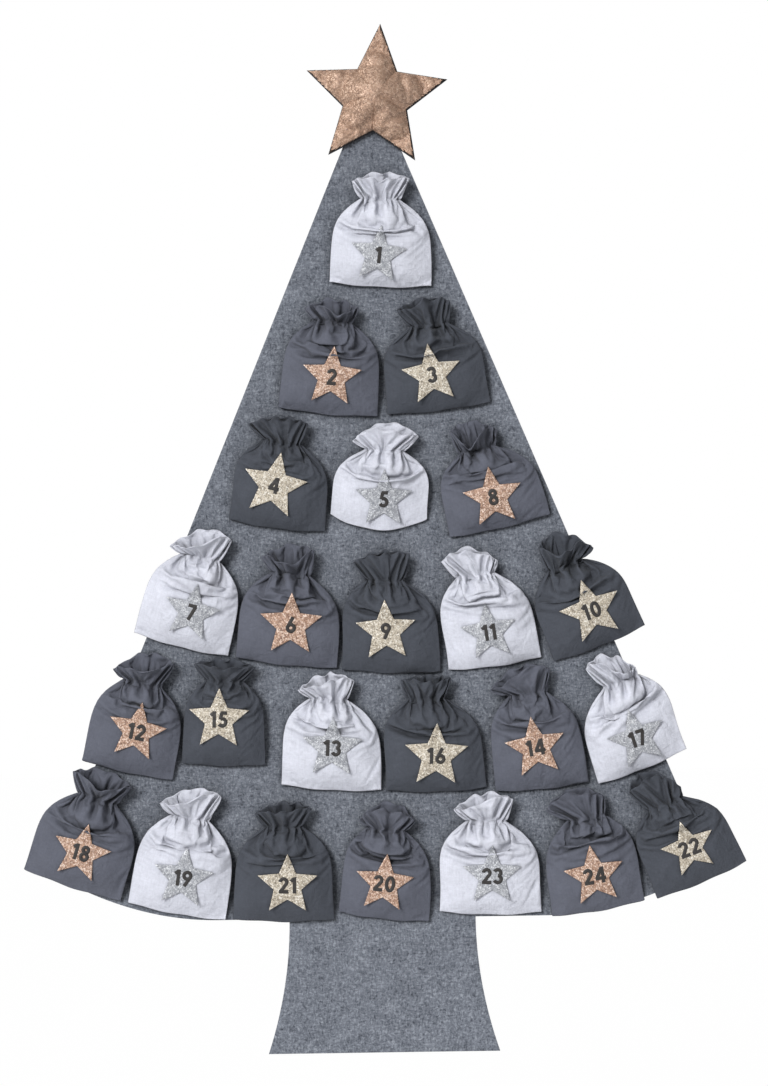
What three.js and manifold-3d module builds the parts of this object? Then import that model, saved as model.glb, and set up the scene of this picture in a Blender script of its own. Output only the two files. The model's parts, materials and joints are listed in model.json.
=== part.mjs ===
// Tree advent calendar: a felt fir tree for the wall, with 24 cotton bags and a stuffed star on top.
// Millimetres, +Z up, X to the right. The front faces -Y and the back of the felt lies on the wall at Y = 0.
// The origin is on the back of the felt, on its middle line, just under its top edge.
import * as THREE from "three";
import { mergeVertices } from "three/addons/utils/BufferGeometryUtils.js";
import Module from "manifold-3d";

const wasm = await Module();
wasm.setup();

// Gap between pieces that touch
const SEAT = 0.3;

// Felt tree: a tall triangle with a slightly bowed hem and a trunk that widens to its foot
const FELT_THICKNESS = 4;
const APEX_RISE = 10;
const APEX_WIDTH = 20;
const SKIRT_WIDTH = 642;
const SKIRT_DROP = 735;
const HEM_DROP = 782;
const HEM_BOW_WIDTH = 320;
const TRUNK_WIDTH = 181;
const FOOT_WIDTH = 225;
const FOOT_DROP = 913;

// Hanging loop of cotton tape, sewn between the felt and the top star
const TAPE_THICKNESS = 1.2;
const TAPE_WIDTH = 6;
const LOOP_WIDTH = 24;
const LOOP_RISE = 46;
const LOOP_TAIL_DROP = 24;
const LOOP_X = 4;

// Stuffed top star
const STAR_NOTCH = 0.46;
const TOPPER_RADIUS = 71;
const TOPPER_X = 5;
const TOPPER_Z = 15;
const TOPPER_TILT = 4.5;
const TOPPER_CROWN = 22;
const DOME_ROUNDNESS = 0.6;
const TOPPER_CLOTH = 1.2;
const TOPPER_HEM = 5;
const BACKING_EDGE = 1.5;

// Cotton bags: cloth with its turnings and gathers, a flat bottom seam, a full belly and a gathered neck
const CLOTH_THICKNESS = 1.4;
const BELLY_DEPTH = 28;
const SEAM_THICKNESS = 3;
const NECK_WIDTH = 45;
const NECK_DEPTH = 14;
const MOUTH_DEPTH = 19;
const NECK_PLEAT = 1.3;
const MOUTH_PLEAT = 2.2;
const BOTTOM_SAG = 3;
const SIDE_TAPER = 0.06;

// Shares of a bag's height where its belly is full, its sides start to curve in and its pleats start
const FULL_BELLY_AT = 0.5;
const SHOULDER_START = 0.3;
const PLEAT_START = 0.56;

// How round a bag's form is
const SHOULDER_ROUNDNESS = 2.6;
const BELLY_ROUNDNESS = 2.4;
const FRONT_ROUNDNESS = 0.75;
const MOUTH_FLARE = 1.3;

// Hook tape on the back of each bag, which grips the felt
const HOOK_THICKNESS = 1.5;
const HOOK_WIDTH = 22;
const HOOK_HEIGHT = 16;
const HOOK_BELOW_NECK = 16;

// Star patch ironed on each bag
const PATCH_THICKNESS = 0.8;

// Facets: a bag's front and back, the rows of its belly, ruffle and lining, and a star's arm and rows
const FRONT_SIDES = 8;
const BACK_SIDES = 4;
const BELLY_ROWS = [0, 0.05, 0.15, 0.32, 0.54, 0.74, 0.89];
const RUFFLE_ROWS = [0, 0.5, 1];
const LINING_ROWS = [0.89, 0.74, 0.48, 0.1];
const ARM_SIDES = 4;
const DOME_ROWS = [0.25, 0.5, 0.7, 0.85, 0.96];

// Every bag by its day. x and z place the middle of its bottom seam and tilt turns it clockwise, in degrees.
// The rest is measured on the bag itself, across and up from the middle of that seam: the neck's middle,
// the left and right tips and the top of the ruffle, and the middle, width and clockwise turn of the star.
const BAGS = [
  { day: 1, cloth: "white", x: 7, z: -167, tilt: 3, width: 101, neck: [-3, 83],
    left: [-33, 99], right: [26, 104], top: 109, star: [-3, 28], starWidth: 54, turn: 4 },
  { day: 2, cloth: "grey", x: -46, z: -290, tilt: 6, width: 99, neck: [-2, 88],
    left: [-33, 98], right: [22, 103], top: 110, star: [1, 34], starWidth: 57, turn: 0 },
  { day: 3, cloth: "charcoal", x: 62, z: -288, tilt: -6, width: 103, neck: [0, 82],
    left: [-31, 100], right: [24, 103], top: 108, star: [-3, 33], starWidth: 57, turn: -2 },
  { day: 4, cloth: "charcoal", x: -97, z: -400, tilt: 8, width: 96, neck: [-5, 82],
    left: [-41, 95], right: [19, 103], top: 106, star: [-7, 39], starWidth: 62, turn: 5 },
  { day: 5, cloth: "white", x: 2, z: -392, tilt: 4, width: 96, neck: [2, 65], sag: 14,
    left: [-31, 72], right: [36, 80], top: 92, star: [4, 17], starWidth: 55, turn: -2 },
  { day: 6, cloth: "grey", x: -90, z: -533, tilt: 7, width: 101, neck: [-5, 87],
    left: [-36, 100], right: [17, 112], top: 115, star: [1, 38], starWidth: 60, turn: -4 },
  { day: 7, cloth: "white", x: -192, z: -514, tilt: 15, width: 96, neck: [-1, 88],
    left: [-35, 91], right: [25, 111], top: 115, star: [3, 34], starWidth: 54, turn: 0 },
  { day: 8, cloth: "grey", x: 120, z: -403, tilt: -12, width: 102, neck: [-5, 77],
    left: [-29, 101], right: [18, 93], top: 106, star: [-1, 29], starWidth: 57, turn: 3 },
  { day: 9, cloth: "charcoal", x: 12, z: -542, tilt: 2, width: 98, neck: [-8, 88],
    left: [-41, 105], right: [17, 114], top: 116, star: [-6, 39], starWidth: 58, turn: -4 },
  { day: 10, cloth: "charcoal", x: 215, z: -519, tilt: -21, width: 97, neck: [-3, 84],
    left: [-22, 110], right: [30, 90], top: 115, star: [4, 34], starWidth: 60, turn: 2 },
  { day: 11, cloth: "white", x: 113, z: -537, tilt: -7, width: 93, neck: [-7, 89],
    left: [-40, 106], right: [17, 100], top: 116, star: [-2, 32], starWidth: 54, turn: -1 },
  { day: 12, cloth: "grey", x: -246, z: -635, tilt: 13, width: 92, neck: [-3, 87],
    left: [-35, 94], right: [25, 111], top: 116, star: [2, 40], starWidth: 56, turn: 0 },
  { day: 13, cloth: "white", x: -48, z: -655, tilt: 4, width: 99, neck: [-7, 87],
    left: [-39, 94], right: [18, 106], top: 111, star: [-1, 40], starWidth: 58, turn: -1 },
  { day: 14, cloth: "grey", x: 157, z: -657, tilt: -5, width: 93, neck: [-5, 92],
    left: [-43, 99], right: [20, 115], top: 119, star: [-3, 40], starWidth: 58, turn: -4 },
  { day: 15, cloth: "charcoal", x: -152, z: -630, tilt: 2, width: 83, neck: [-1, 81],
    left: [-32, 97], right: [31, 95], top: 102, star: [-5, 44], starWidth: 58, turn: 0 },
  { day: 16, cloth: "charcoal", x: 54, z: -658, tilt: -1, width: 100, neck: [-7, 89],
    left: [-33, 108], right: [19, 109], top: 111, star: [1, 34], starWidth: 61, turn: 3 },
  { day: 17, cloth: "white", x: 255, z: -639, tilt: -21, width: 94, neck: [11, 86],
    left: [-18, 110], right: [30, 94], top: 115, star: [5, 29], starWidth: 57, turn: 3 },
  { day: 18, cloth: "grey", x: -301, z: -746, tilt: 19, width: 101, neck: [-3, 89],
    left: [-35, 107], right: [27, 110], top: 117, star: [-1, 35], starWidth: 56, turn: -2 },
  { day: 19, cloth: "white", x: -200, z: -773, tilt: 11, width: 98, neck: [-3, 93],
    left: [-36, 102], right: [25, 119], top: 121, star: [1, 35], starWidth: 58, turn: -2 },
  { day: 20, cloth: "grey", x: 1, z: -781, tilt: 7, width: 90, neck: [-6, 86],
    left: [-36, 92], right: [22, 97], top: 112, star: [-3, 34], starWidth: 56, turn: 0 },
  { day: 21, cloth: "charcoal", x: -96, z: -782, tilt: 1, width: 100, neck: [0, 91],
    left: [-30, 104], right: [29, 109], top: 114, star: [4, 35], starWidth: 58, turn: 0 },
  { day: 22, cloth: "charcoal", x: 311, z: -750, tilt: -22, width: 96, neck: [-5, 84],
    left: [-34, 108], right: [17, 93], top: 119, star: [0, 36], starWidth: 53, turn: 2 },
  { day: 23, cloth: "white", x: 105, z: -778, tilt: 1, width: 101, neck: [-5, 90],
    left: [-38, 101], right: [23, 111], top: 116, star: [1, 37], starWidth: 57, turn: 0 },
  { day: 24, cloth: "grey", x: 210, z: -776, tilt: -9, width: 93, neck: [3, 90],
    left: [-36, 104], right: [24, 109], top: 120, star: [1, 34], starWidth: 58, turn: 0 },
];

// Colours and finishes
const CLOTHS = {
  white: { cloth: 0xe4e4ea, star: 0xb9bac0 },
  grey: { cloth: 0x5c5f6a, star: 0xbe9079 },
  charcoal: { cloth: 0x484b50, star: 0xc9b592 },
};
const FELT = { color: 0x70747a, roughness: 0.95, metalness: 0 };
const TAPE = { color: 0xd8d4cc, roughness: 0.9, metalness: 0 };
const COTTON = { roughness: 0.9, metalness: 0 };
const GLITTER = { color: 0xb48a6f, roughness: 0.4, metalness: 0.5 };
const WADDING = { color: 0xf4f4f2, roughness: 1, metalness: 0 };
const BACKING = { color: 0x5d5350, roughness: 0.9, metalness: 0 };

// Helpers for solids

function toSolid(geometry) {
  const bare = geometry.clone().deleteAttribute("normal").deleteAttribute("uv");
  const merged = mergeVertices(bare, 1e-4);
  const vertProperties = merged.attributes.position.array;
  return new wasm.Manifold(
    new wasm.Mesh({ numProp: 3, vertProperties, triVerts: new Uint32Array(merged.index.array) }),
  );
}

function toGeometry(solid) {
  const { vertProperties, triVerts } = solid.getMesh();
  const geometry = new THREE.BufferGeometry();
  geometry.setAttribute("position", new THREE.BufferAttribute(vertProperties, 3));
  geometry.setIndex(new THREE.BufferAttribute(triVerts, 1));
  return geometry;
}

function finish(geometry) {
  const flat = geometry.index ? geometry.toNonIndexed() : geometry;
  flat.computeVertexNormals();
  return flat;
}

// A skin through rings of as many points each, closed at both ends by a fan round the ring's middle
function loft(rings) {
  const sides = rings[0].length;
  const points = rings.flat();
  const faces = [];
  rings.slice(1).forEach((_, row) => {
    for (let i = 0; i < sides; i++) {
      const a = row * sides + i;
      const b = row * sides + ((i + 1) % sides);
      faces.push(a, b, b + sides, a, b + sides, a + sides);
    }
  });
  const addFan = (ring, first, reversed) => {
    const middle = points.push(ring.reduce((sum, p) => sum.add(p), new THREE.Vector3())
      .divideScalar(sides)) - 1;
    for (let i = 0; i < sides; i++) {
      const a = first + i;
      const b = first + ((i + 1) % sides);
      faces.push(middle, reversed ? b : a, reversed ? a : b);
    }
  };
  addFan(rings[0], 0, true);
  addFan(rings.at(-1), (rings.length - 1) * sides, false);
  const geometry = new THREE.BufferGeometry().setFromPoints(points);
  geometry.setIndex(faces);
  return geometry;
}

// An outline drawn on X and Z, made into a plate whose back is at Y = 0
function plate(shape, thickness, curveSegments = 12) {
  const options = { depth: thickness, bevelEnabled: false, curveSegments };
  return new THREE.ExtrudeGeometry(shape, options).rotateX(Math.PI / 2);
}

// Five-pointed star

// Distance from the middle to the star's edge in a direction given in turns of an arm, 0 at a tip
function starEdge(radius, turn) {
  const half = Math.PI / 5;
  const angle = Math.abs(turn - Math.round(turn)) * 2 * half;
  const notch = radius * STAR_NOTCH;
  const across = radius * notch * Math.sin(half);
  return across / (notch * Math.sin(half - angle) + radius * Math.sin(angle));
}

function starRing(radius, share, y) {
  const sides = 5 * ARM_SIDES;
  return Array.from({ length: sides }, (_, i) => {
    const angle = (2 * Math.PI * i) / sides;
    const reach = share * starEdge(radius, i / ARM_SIDES);
    return new THREE.Vector3(reach * Math.sin(angle), y, reach * Math.cos(angle));
  });
}

function starShape(radius) {
  const shape = new THREE.Shape();
  for (let i = 0; i < 10; i++) {
    const angle = (Math.PI * i) / 5;
    const reach = i % 2 ? radius * STAR_NOTCH : radius;
    const corner = [reach * Math.sin(angle), reach * Math.cos(angle)];
    if (i) shape.lineTo(...corner);
    else shape.moveTo(...corner);
  }
  shape.closePath();
  return shape;
}

// How far the cushion stands out at a share of the way from its middle to its edge
const dome = (share, crown) => crown * (1 - share ** 2) ** DOME_ROUNDNESS;

function feltGeometry() {
  const shape = new THREE.Shape();
  const bow = HEM_BOW_WIDTH / 2;
  shape.moveTo(-APEX_WIDTH / 2, APEX_RISE);
  shape.lineTo(APEX_WIDTH / 2, APEX_RISE);
  shape.lineTo(SKIRT_WIDTH / 2, -SKIRT_DROP);
  shape.quadraticCurveTo((SKIRT_WIDTH / 2 + bow) / 2, -HEM_DROP, bow, -HEM_DROP);
  shape.lineTo(TRUNK_WIDTH / 2, -HEM_DROP);
  shape.quadraticCurveTo(TRUNK_WIDTH / 2, -(HEM_DROP + FOOT_DROP) / 2, FOOT_WIDTH / 2, -FOOT_DROP);
  shape.lineTo(-FOOT_WIDTH / 2, -FOOT_DROP);
  shape.quadraticCurveTo(-TRUNK_WIDTH / 2, -(HEM_DROP + FOOT_DROP) / 2, -TRUNK_WIDTH / 2, -HEM_DROP);
  shape.lineTo(-bow, -HEM_DROP);
  shape.quadraticCurveTo(-(SKIRT_WIDTH / 2 + bow) / 2, -HEM_DROP, -SKIRT_WIDTH / 2, -SKIRT_DROP);
  shape.closePath();
  return plate(shape, FELT_THICKNESS, 8);
}

function loopGeometry() {
  const outer = LOOP_WIDTH / 2;
  const inner = outer - TAPE_WIDTH;
  const bend = LOOP_RISE - outer;
  const shape = new THREE.Shape();
  shape.moveTo(-outer, -LOOP_TAIL_DROP);
  shape.lineTo(-outer, bend);
  shape.absarc(0, bend, outer, Math.PI, 0, true);
  shape.lineTo(outer, -LOOP_TAIL_DROP);
  shape.lineTo(inner, -LOOP_TAIL_DROP);
  shape.lineTo(inner, bend);
  shape.absarc(0, bend, inner, 0, Math.PI, false);
  shape.lineTo(-inner, -LOOP_TAIL_DROP);
  shape.closePath();
  return plate(shape, TAPE_THICKNESS);
}

// Top star, from its flat back at Y = 0: backing, wadding and the crowned front that is sewn round its edge
const HEM_Y = -(TOPPER_CLOTH + SEAT);
const CAVITY_RADIUS = TOPPER_RADIUS - TOPPER_HEM;

function topperFrontGeometry() {
  const edge = HEM_Y - TOPPER_CLOTH;
  const outside = DOME_ROWS.map((s) => starRing(TOPPER_RADIUS, s, edge - dome(s, TOPPER_CROWN)));
  const hollowCrown = TOPPER_CROWN - TOPPER_CLOTH;
  const inside = DOME_ROWS.map((s) => starRing(CAVITY_RADIUS, s, HEM_Y - dome(s, hollowCrown)));
  return loft([
    ...outside,
    starRing(TOPPER_RADIUS, 1, edge),
    starRing(TOPPER_RADIUS, 1, HEM_Y),
    starRing(CAVITY_RADIUS, 1, HEM_Y),
    ...inside.reverse(),
  ]);
}

function topperFillingGeometry() {
  const slack = 3 * SEAT;
  const radius = CAVITY_RADIUS - slack;
  const crown = TOPPER_CROWN - TOPPER_CLOTH - slack;
  const outside = DOME_ROWS.map((s) => starRing(radius, s, HEM_Y - dome(s, crown)));
  return loft([...outside, starRing(radius, 1, HEM_Y), starRing(radius, DOME_ROWS[0], HEM_Y)]);
}

function topperBackGeometry() {
  return plate(starShape(TOPPER_RADIUS + BACKING_EDGE), TOPPER_CLOTH);
}

// Cotton bag, from its flat back at Y = 0 and the middle of its bottom seam

const mix = THREE.MathUtils.lerp;
const ease = THREE.MathUtils.smoothstep;

// Straight sides, then shoulders that curve in to the neck
function halfWidthAt(bag, t) {
  const turnIn = Math.max(0, (t - SHOULDER_START) / (1 - SHOULDER_START)) ** SHOULDER_ROUNDNESS;
  return mix((bag.width / 2) * (1 - SIDE_TAPER * t), NECK_WIDTH / 2, turnIn);
}

// The belly swells from the flat seam and draws in to the neck
function depthAt(t) {
  const rise = Math.min(t / FULL_BELLY_AT, 1);
  const swell = mix(SEAM_THICKNESS, BELLY_DEPTH, 1 - (1 - rise) ** BELLY_ROUNDNESS);
  return mix(swell, NECK_DEPTH, ease(t, PLEAT_START, 1));
}

// A ring with a flat back and a full front, whose inner points are pleated. wall draws it in for the lining.
function bagRing({ middle, halfWidth, depth, pleat, height }, wall) {
  const ring = [];
  const half = halfWidth - wall;
  for (let i = 0; i <= FRONT_SIDES; i++) {
    const angle = (Math.PI * i) / FRONT_SIDES;
    const fold = i % FRONT_SIDES ? pleat * (i % 2 ? 1 : -1) : 0;
    const across = -half * Math.cos(angle);
    const out = wall + (depth - 2 * wall) * Math.sin(angle) ** FRONT_ROUNDNESS + fold;
    ring.push(new THREE.Vector3(middle + across, -out, height(across / halfWidth)));
  }
  for (let i = 1; i < BACK_SIDES; i++) {
    const across = half * (1 - (2 * i) / BACK_SIDES);
    ring.push(new THREE.Vector3(middle + across, -wall, height(across / halfWidth)));
  }
  return ring;
}

function bellySection(bag, t) {
  const [neckX, neckZ] = bag.neck;
  const sag = (bag.sag ?? BOTTOM_SAG) * (1 - t) ** 3;
  return {
    middle: neckX * t ** 2,
    halfWidth: halfWidthAt(bag, t),
    depth: depthAt(t),
    pleat: NECK_PLEAT * ease(t, PLEAT_START, 1),
    height: (side) => neckZ * t - sag * (1 - side ** 2),
  };
}

// The ruffle opens from the neck, at 0, to its edge, at 1
function ruffleSection(bag, share) {
  const [neckX, neckZ] = bag.neck;
  const [leftX, leftZ] = bag.left;
  const [rightX, rightZ] = bag.right;
  const crest = bag.top - (leftZ + rightZ) / 2;
  const edgeHeight = (side) => mix(leftZ, rightZ, (side + 1) / 2) + crest * (1 - side ** 2);
  return {
    middle: mix(neckX, (leftX + rightX) / 2, share),
    halfWidth: mix(NECK_WIDTH, rightX - leftX, share ** MOUTH_FLARE) / 2,
    depth: mix(NECK_DEPTH, MOUTH_DEPTH, share),
    pleat: mix(NECK_PLEAT, MOUTH_PLEAT, share),
    height: (side) => mix(neckZ, edgeHeight(side), share),
  };
}

function bagSections(bag) {
  return [...BELLY_ROWS.map((t) => bellySection(bag, t)), ...RUFFLE_ROWS.map((s) => ruffleSection(bag, s))];
}

function pouchGeometry(bag) {
  const outside = bagSections(bag).map((section) => bagRing(section, 0));
  const hollow = [
    ...RUFFLE_ROWS.toReversed().map((share) => ruffleSection(bag, share)),
    ...LINING_ROWS.map((t) => bellySection(bag, t)),
  ];
  const lining = hollow.map((section) => bagRing(section, CLOTH_THICKNESS));
  const sewnIn = CLOTH_THICKNESS / 2;
  const hook = new THREE.BoxGeometry(HOOK_WIDTH, HOOK_THICKNESS + sewnIn, HOOK_HEIGHT);
  const hookHeight = bag.neck[1] - HOOK_BELOW_NECK;
  const hookX = bag.neck[0] * (hookHeight / bag.neck[1]) ** 2;
  hook.translate(hookX, (HOOK_THICKNESS - sewnIn) / 2, hookHeight);
  return toGeometry(toSolid(loft([...outside, ...lining])).add(toSolid(hook)));
}

// The patch is the part of a thin layer over the bag's front that a star cutter takes out
function patchGeometry(bag) {
  const full = toSolid(loft(bagSections(bag).map((section) => bagRing(section, 0))));
  const inFrontOfSeam = 2 * SEAM_THICKNESS;
  const radius = bag.starWidth / 2 / Math.cos(Math.PI / 10);
  const cutter = plate(starShape(radius), BELLY_DEPTH + inFrontOfSeam);
  cutter.rotateY(THREE.MathUtils.degToRad(bag.turn)).translate(bag.star[0], -inFrontOfSeam, bag.star[1]);
  const layer = full.translate([0, -SEAT - PATCH_THICKNESS, 0]).subtract(full.translate([0, -SEAT, 0]));
  return toGeometry(layer.intersect(toSolid(cutter)));
}

// Assembly

const tree = new THREE.Group();

function add(parent, name, geometry, finishOf) {
  const mesh = new THREE.Mesh(finish(geometry), new THREE.MeshStandardMaterial(finishOf));
  mesh.name = name;
  parent.add(mesh);
  return mesh;
}

add(tree, "felt_tree", feltGeometry(), FELT);

const loop = add(tree, "hanging_loop", loopGeometry(), TAPE);
loop.position.set(LOOP_X, -(FELT_THICKNESS + SEAT), 0);

const topper = new THREE.Group();
topper.position.set(TOPPER_X, loop.position.y - TAPE_THICKNESS - SEAT, TOPPER_Z);
topper.rotation.y = THREE.MathUtils.degToRad(TOPPER_TILT);
add(topper, "topper_back", topperBackGeometry(), BACKING);
add(topper, "topper_filling", topperFillingGeometry(), WADDING);
add(topper, "topper_front", topperFrontGeometry(), GLITTER);
tree.add(topper);

for (const bag of BAGS) {
  const number = String(bag.day).padStart(2, "0");
  const colours = CLOTHS[bag.cloth];
  const group = new THREE.Group();
  group.position.set(bag.x, -(FELT_THICKNESS + SEAT + HOOK_THICKNESS), bag.z);
  group.rotation.y = THREE.MathUtils.degToRad(bag.tilt);
  add(group, `pouch_${number}`, pouchGeometry(bag), { ...COTTON, color: colours.cloth });
  add(group, `star_patch_${number}`, patchGeometry(bag), { ...GLITTER, color: colours.star });
  tree.add(group);
}

export default tree;
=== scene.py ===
"""Tree advent calendar: the looks of a felt fir tree with 24 cotton bags, glitter stars and numbers.

Metres, +Z up, X to the right. The front faces -Y and the back of the felt lies at Y = 0.
"""

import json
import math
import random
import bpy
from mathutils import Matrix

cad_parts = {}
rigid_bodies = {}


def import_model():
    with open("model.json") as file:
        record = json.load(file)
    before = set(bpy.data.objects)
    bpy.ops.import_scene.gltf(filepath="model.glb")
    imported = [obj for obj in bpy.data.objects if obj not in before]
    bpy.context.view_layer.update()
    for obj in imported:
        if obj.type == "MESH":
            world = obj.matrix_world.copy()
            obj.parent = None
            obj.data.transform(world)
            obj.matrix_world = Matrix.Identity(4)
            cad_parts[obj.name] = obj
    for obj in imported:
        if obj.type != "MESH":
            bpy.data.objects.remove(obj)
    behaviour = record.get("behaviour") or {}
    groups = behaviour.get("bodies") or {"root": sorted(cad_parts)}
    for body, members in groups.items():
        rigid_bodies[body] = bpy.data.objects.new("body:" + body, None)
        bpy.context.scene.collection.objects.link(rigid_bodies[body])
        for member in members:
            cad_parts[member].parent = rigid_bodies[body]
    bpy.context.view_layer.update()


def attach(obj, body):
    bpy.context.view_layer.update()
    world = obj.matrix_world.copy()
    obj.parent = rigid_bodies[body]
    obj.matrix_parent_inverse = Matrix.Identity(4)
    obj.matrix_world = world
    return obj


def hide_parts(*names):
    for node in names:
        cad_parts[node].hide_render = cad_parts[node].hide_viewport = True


bl_info = {
    "name": "Tree Advent Calendar",
    "version": (1, 0, 0),
    "blender": (4, 5, 0),
    "location": "View3D > Sidebar > Calendar",
    "description": "Felt tree with gathered cotton bags, glitter star patches and a stuffed top star",
    "category": "Add Mesh",
}

import bmesh
import bpy
from bpy.props import FloatProperty, FloatVectorProperty, IntProperty, PointerProperty
from mathutils import Matrix, Vector, noise
from mathutils.bvhtree import BVHTree

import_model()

MM = 0.001
# Gap between layers that lie on each other, in millimetres, as in the solids
SEAT = 0.3

# Each bag: day, cloth, x, z and tilt of its bottom seam, width, neck, left and right tips and top of its
# ruffle, star's middle, width and turn. All in millimetres and degrees, as in the solids.
BAGS = [
    (1, "white", 7, -167, 3, 101, (-3, 83), (-33, 99), (26, 104), 109, (-3, 28), 54, 4),
    (2, "grey", -46, -290, 6, 99, (-2, 88), (-33, 98), (22, 103), 110, (1, 34), 57, 0),
    (3, "charcoal", 62, -288, -6, 103, (0, 82), (-31, 100), (24, 103), 108, (-3, 33), 57, -2),
    (4, "charcoal", -97, -400, 8, 96, (-5, 82), (-41, 95), (19, 103), 106, (-7, 39), 62, 5),
    (5, "white", 2, -392, 4, 96, (2, 65), (-31, 72), (36, 80), 92, (4, 17), 55, -2),
    (6, "grey", -90, -533, 7, 101, (-5, 87), (-36, 100), (17, 112), 115, (1, 38), 60, -4),
    (7, "white", -192, -514, 15, 96, (-1, 88), (-35, 91), (25, 111), 115, (3, 34), 54, 0),
    (8, "grey", 120, -403, -12, 102, (-5, 77), (-29, 101), (18, 93), 106, (-1, 29), 57, 3),
    (9, "charcoal", 12, -542, 2, 98, (-8, 88), (-41, 105), (17, 114), 116, (-6, 39), 58, -4),
    (10, "charcoal", 215, -519, -21, 97, (-3, 84), (-22, 110), (30, 90), 115, (4, 34), 60, 2),
    (11, "white", 113, -537, -7, 93, (-7, 89), (-40, 106), (17, 100), 116, (-2, 32), 54, -1),
    (12, "grey", -246, -635, 13, 92, (-3, 87), (-35, 94), (25, 111), 116, (2, 40), 56, 0),
    (13, "white", -48, -655, 4, 99, (-7, 87), (-39, 94), (18, 106), 111, (-1, 40), 58, -1),
    (14, "grey", 157, -657, -5, 93, (-5, 92), (-43, 99), (20, 115), 119, (-3, 40), 58, -4),
    (15, "charcoal", -152, -630, 2, 83, (-1, 81), (-32, 97), (31, 95), 102, (-5, 44), 58, 0),
    (16, "charcoal", 54, -658, -1, 100, (-7, 89), (-33, 108), (19, 109), 111, (1, 34), 61, 3),
    (17, "white", 255, -639, -21, 94, (11, 86), (-18, 110), (30, 94), 115, (5, 29), 57, 3),
    (18, "grey", -301, -746, 19, 101, (-3, 89), (-35, 107), (27, 110), 117, (-1, 35), 56, -2),
    (19, "white", -200, -773, 11, 98, (-3, 93), (-36, 102), (25, 119), 121, (1, 35), 58, -2),
    (20, "grey", 1, -781, 7, 90, (-6, 86), (-36, 92), (22, 97), 112, (-3, 34), 56, 0),
    (21, "charcoal", -96, -782, 1, 100, (0, 91), (-30, 104), (29, 109), 114, (4, 35), 58, 0),
    (22, "charcoal", 311, -750, -22, 96, (-5, 84), (-34, 108), (17, 93), 119, (0, 36), 53, 2),
    (23, "white", 105, -778, 1, 101, (-5, 90), (-38, 101), (23, 111), 116, (1, 37), 57, 0),
    (24, "grey", 210, -776, -9, 93, (3, 90), (-36, 104), (24, 109), 120, (1, 34), 58, 0),
]
# How each bag's cloth falls: how far the front lip hangs down, where across it hangs lowest, how far the
# mouth opens, pleats round the neck, the cut cloth's length as a share of the height to the neck, and how
# far the bottom seam sags
LOOKS = {
    1: (9, 0.1, 0.6, 10, 1.13, 3),
    2: (16, 0.3, 1.0, 9, 1.17, 3),
    3: (7, -0.6, 0.6, 8, 1.16, 3),
    4: (4, 0.4, 0.5, 13, 1.1, 3),
    5: (10, 0.4, 0.8, 10, 1.24, 14),
    6: (20, 0.1, 0.9, 8, 1.15, 3),
    7: (17, -0.2, 1.0, 9, 1.15, 3),
    8: (27, -0.35, 1.0, 7, 1.2, 3),
    9: (3, 0.0, 0.4, 11, 1.12, 3),
    10: (22, -0.3, 1.0, 9, 1.12, 3),
    11: (4, 0.2, 0.5, 8, 1.15, 3),
    12: (19, 0.1, 1.0, 10, 1.13, 3),
    13: (9, -0.2, 0.7, 11, 1.13, 3),
    14: (8, -0.5, 0.6, 10, 1.14, 3),
    15: (9, 0.0, 0.8, 10, 1.12, 3),
    16: (6, 0.3, 0.5, 11, 1.13, 3),
    17: (18, 0.4, 1.0, 9, 1.17, 3),
    18: (18, 0.1, 1.0, 10, 1.13, 3),
    19: (12, -0.3, 0.8, 10, 1.15, 3),
    20: (7, 0.2, 0.6, 9, 1.2, 3),
    21: (8, 0.0, 0.6, 12, 1.12, 3),
    22: (7, -0.5, 0.7, 10, 1.18, 3),
    23: (9, -0.4, 0.7, 10, 1.15, 3),
    24: (5, 0.4, 0.5, 9, 1.2, 3),
}
FIELDS = "day cloth x z tilt width neck left right top star star_width turn".split()
LOOK_FIELDS = "lip lip_side opening pleats slack sag".split()
BAGS = [
    dict(zip(FIELDS, row)) | dict(zip(LOOK_FIELDS, LOOKS[row[0]])) | {"number": f"{row[0]:02d}"}
    for row in BAGS
]
STAR_OF = {"white": "silver", "grey": "copper", "charcoal": "gold"}
# How strongly the painted shade of ambient occlusion darkens each cloth in its folds
PAINTED_SHADE_SHARE = {"white": 0.7, "grey": 0.95, "charcoal": 0.95}


def lerp(a, b, t):
    return a + (b - a) * t


def ease(t, start, end):
    t = min(max((t - start) / (end - start), 0), 1)
    return t * t * (3 - 2 * t)


def linear(text):
    """A colour written as six hex digits, in the linear values that shaders take."""
    parts = [int(text[i : i + 2], 16) / 255 for i in (0, 2, 4)]
    return tuple(c / 12.92 if c <= 0.04045 else ((c + 0.055) / 1.055) ** 2.4 for c in parts)


# Sizes and colours that a user can change


def length(name, description, default, **options):
    return FloatProperty(
        name=name, description=description, default=default, unit="LENGTH", precision=4, **options
    )


def share(name, description, default):
    return FloatProperty(name=name, description=description, default=default)


def colour(name, description, text):
    return FloatVectorProperty(
        name=name, description=description, default=linear(text), subtype="COLOR", size=3, min=0, max=1
    )


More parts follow.
